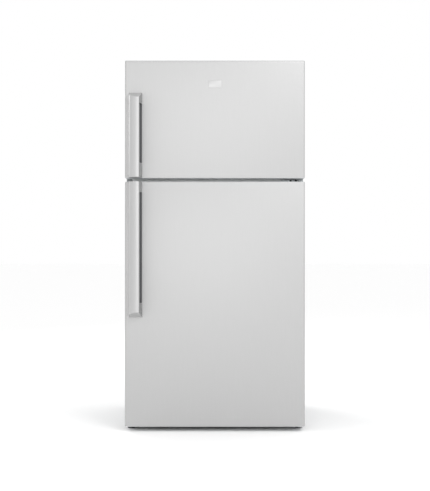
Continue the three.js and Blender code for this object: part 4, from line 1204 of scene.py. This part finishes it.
coverParts = {
    "louvres": 7, "step": 14, "widest": 47.5, "narrowing": 4,
    "blade": [(0.2, -2.6), (2.8, 1), (2.8, 2.6), (0.2, -1)],
    "bezel": [(58, 0.2), (58, -1.4), (59, -2.2), (61, -2.2), (62, -1.4), (62, 0.2), (58, 0.2)],
}


def evaporatorFront():
    # Sloping blades behind the slots, and a raised bezel round them.
    v = coverParts
    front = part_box("evaporator_cover")[0].y
    fanZ = sum(corner.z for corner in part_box("evaporator_fan")) / 2
    bm = bmesh.new()
    for i in range(v["louvres"]):
        step = i - v["louvres"] // 2
        z, half = fanZ + mm(v["step"] * step), mm(v["widest"] - v["narrowing"] * abs(step))
        addProfile(bm, [(front + mm(back), z + mm(up)) for back, up in v["blade"]], -half, half)
    addTurned(bm, v["bezel"], Vector((0, front, fanZ)), "y", 64)
    makePiece(bm, "evaporator_louvres", "cabinet", "liner")


coilParts = {"fins": 62, "fin": 0.5, "end": 14, "tube": 8, "rows": 3, "columns": 2, "tubeEnd": 5, "bend": 26}


def finnedEvaporator():
    # Thin fins pressed on a serpentine of drawn tube.
    v = coilParts
    low, high = (corner * 1000 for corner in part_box("evaporator"))
    bm = bmesh.new()
    for x in spread(low.x + v["end"], high.x - v["end"], v["fins"]):
        addBox(bm, point(x - v["fin"] / 2, low.y, low.z), point(x + v["fin"] / 2, high.y, high.z))
    makePiece(bm, "evaporator_fins", "cabinet", "aluminium", replaces="evaporator")
    ys, zs = cells(low.y, high.y, v["columns"]), cells(low.z, high.z, v["rows"])
    route = serpentine(ys, zs, (low.x + v["tubeEnd"], high.x - v["tubeEnd"]))
    makeWires("evaporator_tube", "cabinet", [roundedRoute(route, v["bend"])], v["tube"], "aluminium",
              roundness=3)


condenserParts = {
    "tube": 5, "rows": 4, "passes": 5, "bend": 16, "tubeEnd": 3, "side": 6, "foot": 10, "wire": 1.6,
    "wires": 26, "wireEnd": 24, "wireOff": 3.1,
}


def wireCondenser():
    # Steel tube in layers, with thin wires welded across it.
    v = condenserParts
    low, high = (corner * 1000 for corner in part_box("condenser_coil"))
    ys = spread(low.y + v["side"], high.y - v["side"], v["passes"])
    zs = spread(low.z + v["foot"], high.z - v["foot"], v["rows"])
    route = [(x, y, z) for x, z, y in serpentine(zs, ys, (low.x + v["tubeEnd"], high.x - v["tubeEnd"]))]
    makeWires("condenser_tube", "cabinet", [roundedRoute(route, v["bend"])], v["tube"], "blackEnamel",
              "condenser_coil")
    wires = [[point(x, y + side * v["wireOff"], z) for z in (low.z, high.z)]
             for x in spread(low.x + v["wireEnd"], high.x - v["wireEnd"], v["wires"])
             for y in ys for side in (-1, 1)]
    makeWires("condenser_wires", "cabinet", wires, v["wire"], "blackEnamel", roundness=1)


compressorParts = {
    "fromEnd": 105, "sunk": 0.5,
    "shell": [(0, 8), (56, 8), (72, 14), (81, 28), (83.4, 48), (83.4, 92), (84, 93), (84, 95), (84, 98),
              (82.6, 99), (82, 112), (77, 134), (64, 152), (42, 164), (18, 169.4), (0, 170)],
    "plate": ((-105, -52, 0.6), (105, 52, 3.4)), "plateEdge": 1.2, "stem": 55, "stemFrom": 2, "stemTo": 22,
    "grommet": [(0, 0.4), (9, 0.4), (9, 5), (7, 6), (7, 9), (9, 10), (9, 13), (0, 13)],
    "grommetAt": (92, 40, 0.3), "cover": ((-112, -28, 60), (-74, 28, 118)), "coverEdge": 5,
    "suction": [(-50, -62, 120), (-60, -96, 120), (-60, -96, 232)],
    "discharge": [(30, -72, 110), (30, -92, 110), (30, -92, 205), (-210, -92, 205), (-318, -92, 205),
                  (-318, -92, 190), (-335, -85, 190)],
    "process": [(64, -50, 90), (78, -68, 90), (78, -68, 150)], "pipe": 6.4, "pipeBend": 14,
    "dryer": [(0, -48), (3.4, -48), (3.6, -42), (9, -32), (9, 32), (3.6, 42), (3.4, 48), (0, 48)],
    "dryerX": -20, "dryerY": -92, "dryerZ": 70,
}


def compressorUnit():
    v = compressorParts
    low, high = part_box("compressor")
    centre = Vector((high.x - mm(v["fromEnd"]), (low.y + high.y) / 2, low.z - mm(v["sunk"])))
    bm = bmesh.new()
    addTurned(bm, v["shell"], centre, "z", 56)
    addRoundBox(bm, *(centre + point(*corner) for corner in v["plate"]), v["plateEdge"])
    addRod(bm, centre + point(0, 0, v["stemFrom"]), centre + point(0, 0, v["stemTo"]), v["stem"], 32)
    makePiece(bm, "compressor_shell", "cabinet", "blackEnamel", replaces="compressor")
    rubber = bmesh.new()
    across, deep, up = v["grommetAt"]
    for x in (-across, across):
        for y in (-deep, deep):
            addTurned(rubber, v["grommet"], centre + point(x, y, up), "z", 20)
    makePiece(rubber, "compressor_grommets", "cabinet", "rubber")
    cover = bmesh.new()
    addRoundBox(cover, *(centre + point(*corner) for corner in v["cover"]), v["coverEdge"], 4)
    makePiece(cover, "compressor_terminal_cover", "cabinet", "blackPp")
    routes = [[centre * 1000 + Vector(place) for place in v[pipe]]
              for pipe in ("suction", "discharge", "process")]
    makeWires("compressor_pipes", "cabinet", [roundedRoute(route, v["pipeBend"]) for route in routes],
              v["pipe"], "copper", roundness=3)
    dryer = bmesh.new()
    place = Vector((mm(v["dryerX"]), centre.y + mm(v["dryerY"]), centre.z + mm(v["dryerZ"])))
    addTurned(dryer, v["dryer"], place, "z", 24)
    makePiece(dryer, "filter_dryer", "cabinet", "copper")


coverScrews = {"side": 12, "end": 10}


def coverFixings():
    v = inMetres(coverScrews)
    low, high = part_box("machine_cover")
    places = [(x, high.y, z) for x in (low.x + v["side"], high.x - v["side"], 0)
              for z in (low.z + v["end"], high.z - v["end"])]
    screwSet("machine_cover_screws", places, (0, 1, 0))


evaporatorFront()
finnedEvaporator()
wireCondenser()
compressorUnit()
makePiece(trayShell(*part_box("drain_pan"), "pan"), "drain_tray", "cabinet", "blackPp", replaces="drain_pan")
coverFixings()

footParts = {
    "pad": [(0, 0), (15.4, 0), (17, 1.6), (17, 8.6), (15.4, 10.6), (9.4, 12), (9.4, 17), (5, 17)],
    "threadFrom": 17, "threadTo": 53, "pitch": 1.5, "crest": 5, "crestUp": 0.3, "root": 4.3, "rootUp": 0.9,
    "tip": [(4, 54), (0, 54)],
}
rollerOutline = [(4.8, -9), (19.4, -9), (22, -6.6), (22, -2.4), (21, -1.4), (21, 1.4), (22, 2.4), (22, 6.6),
                 (19.4, 9), (12, 9), (11, 7), (7.5, 7), (6.6, 9), (4.8, 9), (4.8, -9)]


def turnedNode(node, name, outline, axis, steps, stands=False):
    low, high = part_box(node)
    centre = (low + high) / 2
    if stands:  # its outline starts at the floor
        centre.z = low.z
    bm = bmesh.new()
    addTurned(bm, outline, centre, axis, steps)
    makePiece(bm, name, bodyOf[node], "blackPp", replaces=node)


def feetAndRollers():
    v = footParts
    thread = []
    for i in range(int((v["threadTo"] - v["threadFrom"]) / v["pitch"])):
        start = v["threadFrom"] + i * v["pitch"]
        thread += [(v["crest"], start + v["crestUp"]), (v["root"], start + v["rootUp"])]
    for side in ("left", "right"):
        outline = v["pad"] + thread + v["tip"]
        turnedNode(f"{side}_levelling_foot", f"{side}_foot", outline, "z", 28, stands=True)
        turnedNode(f"{side}_roller", f"{side}_wheel", rollerOutline, "x", 40)


feetAndRollers()
for node in ("cabinet_insulation", "freezer_door_insulation", "fridge_door_insulation"):
    for slot in frame["nodes"][node].material_slots:
        slot.material = finishes["foam"]
print("stage: cooling, feet and rollers")

cameraValues = {"distance": 4.5, "height": 0.86, "across": 0.0005, "frameHeight": 2.267, "sensor": 36}
studioValues = {"colour": "fdfdfd", "roughness": 0.95, "sky": 1.0, "floorHalf": 40, "farthest": 120}
lightValues = {  # place, aimed at, width, height, watts
    "key_above_right": ((1.6, -3.1, 2.9), (0.1, -0.3, 1.0), 1.6, 1.4, 40),
    "front_fill": ((-0.6, -6.4, 1.5), (0, -0.3, 1.1), 3.0, 2.0, 55),
    "rear_soft": ((-2.6, 3.4, 2.4), (0, 0.4, 0.9), 2.0, 1.8, 38),
}


def addToScene(name, data):
    thing = bpy.data.objects.new(name, data)
    bpy.context.scene.collection.objects.link(thing)
    return thing


def studio():
    scene = bpy.context.scene
    v = cameraValues
    camera = addToScene("camera", bpy.data.cameras.new("camera"))
    camera.location = (v["across"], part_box("fridge_door_panel")[0].y - v["distance"], v["height"])
    camera.rotation_euler = (radians(90), 0, 0)
    camera.data.sensor_width = v["sensor"]
    camera.data.lens = v["sensor"] * v["distance"] / v["frameHeight"]
    camera.data.clip_end = studioValues["farthest"]
    scene.camera = camera

    bm = bmesh.new()
    bmesh.ops.create_grid(bm, x_segments=8, y_segments=8, size=studioValues["floorHalf"])
    mesh = bpy.data.meshes.new("floor")
    bm.to_mesh(mesh)
    bm.free()
    mesh.materials.append(startFinish("matt_studio_paper", studioValues)[0])
    addToScene("floor", mesh)

    world = bpy.data.worlds.new("white_studio")
    world.use_nodes = True
    background = world.node_tree.nodes["Background"]
    background.inputs["Color"].default_value = (1, 1, 1, 1)
    background.inputs["Strength"].default_value = studioValues["sky"]
    scene.world = world
    scene.view_settings.view_transform = "Standard"


def softLights():
    for name, (place, aim, width, height, watts) in lightValues.items():
        data = bpy.data.lights.new(name, "AREA")
        data.shape = "RECTANGLE"
        data.size, data.size_y, data.energy = width, height, watts
        light = addToScene(name, data)
        light.location = place
        light.rotation_euler = (Vector(aim) - Vector(place)).to_track_quat("-Z", "Y").to_euler()


studio()
softLights()
print("stage: studio")
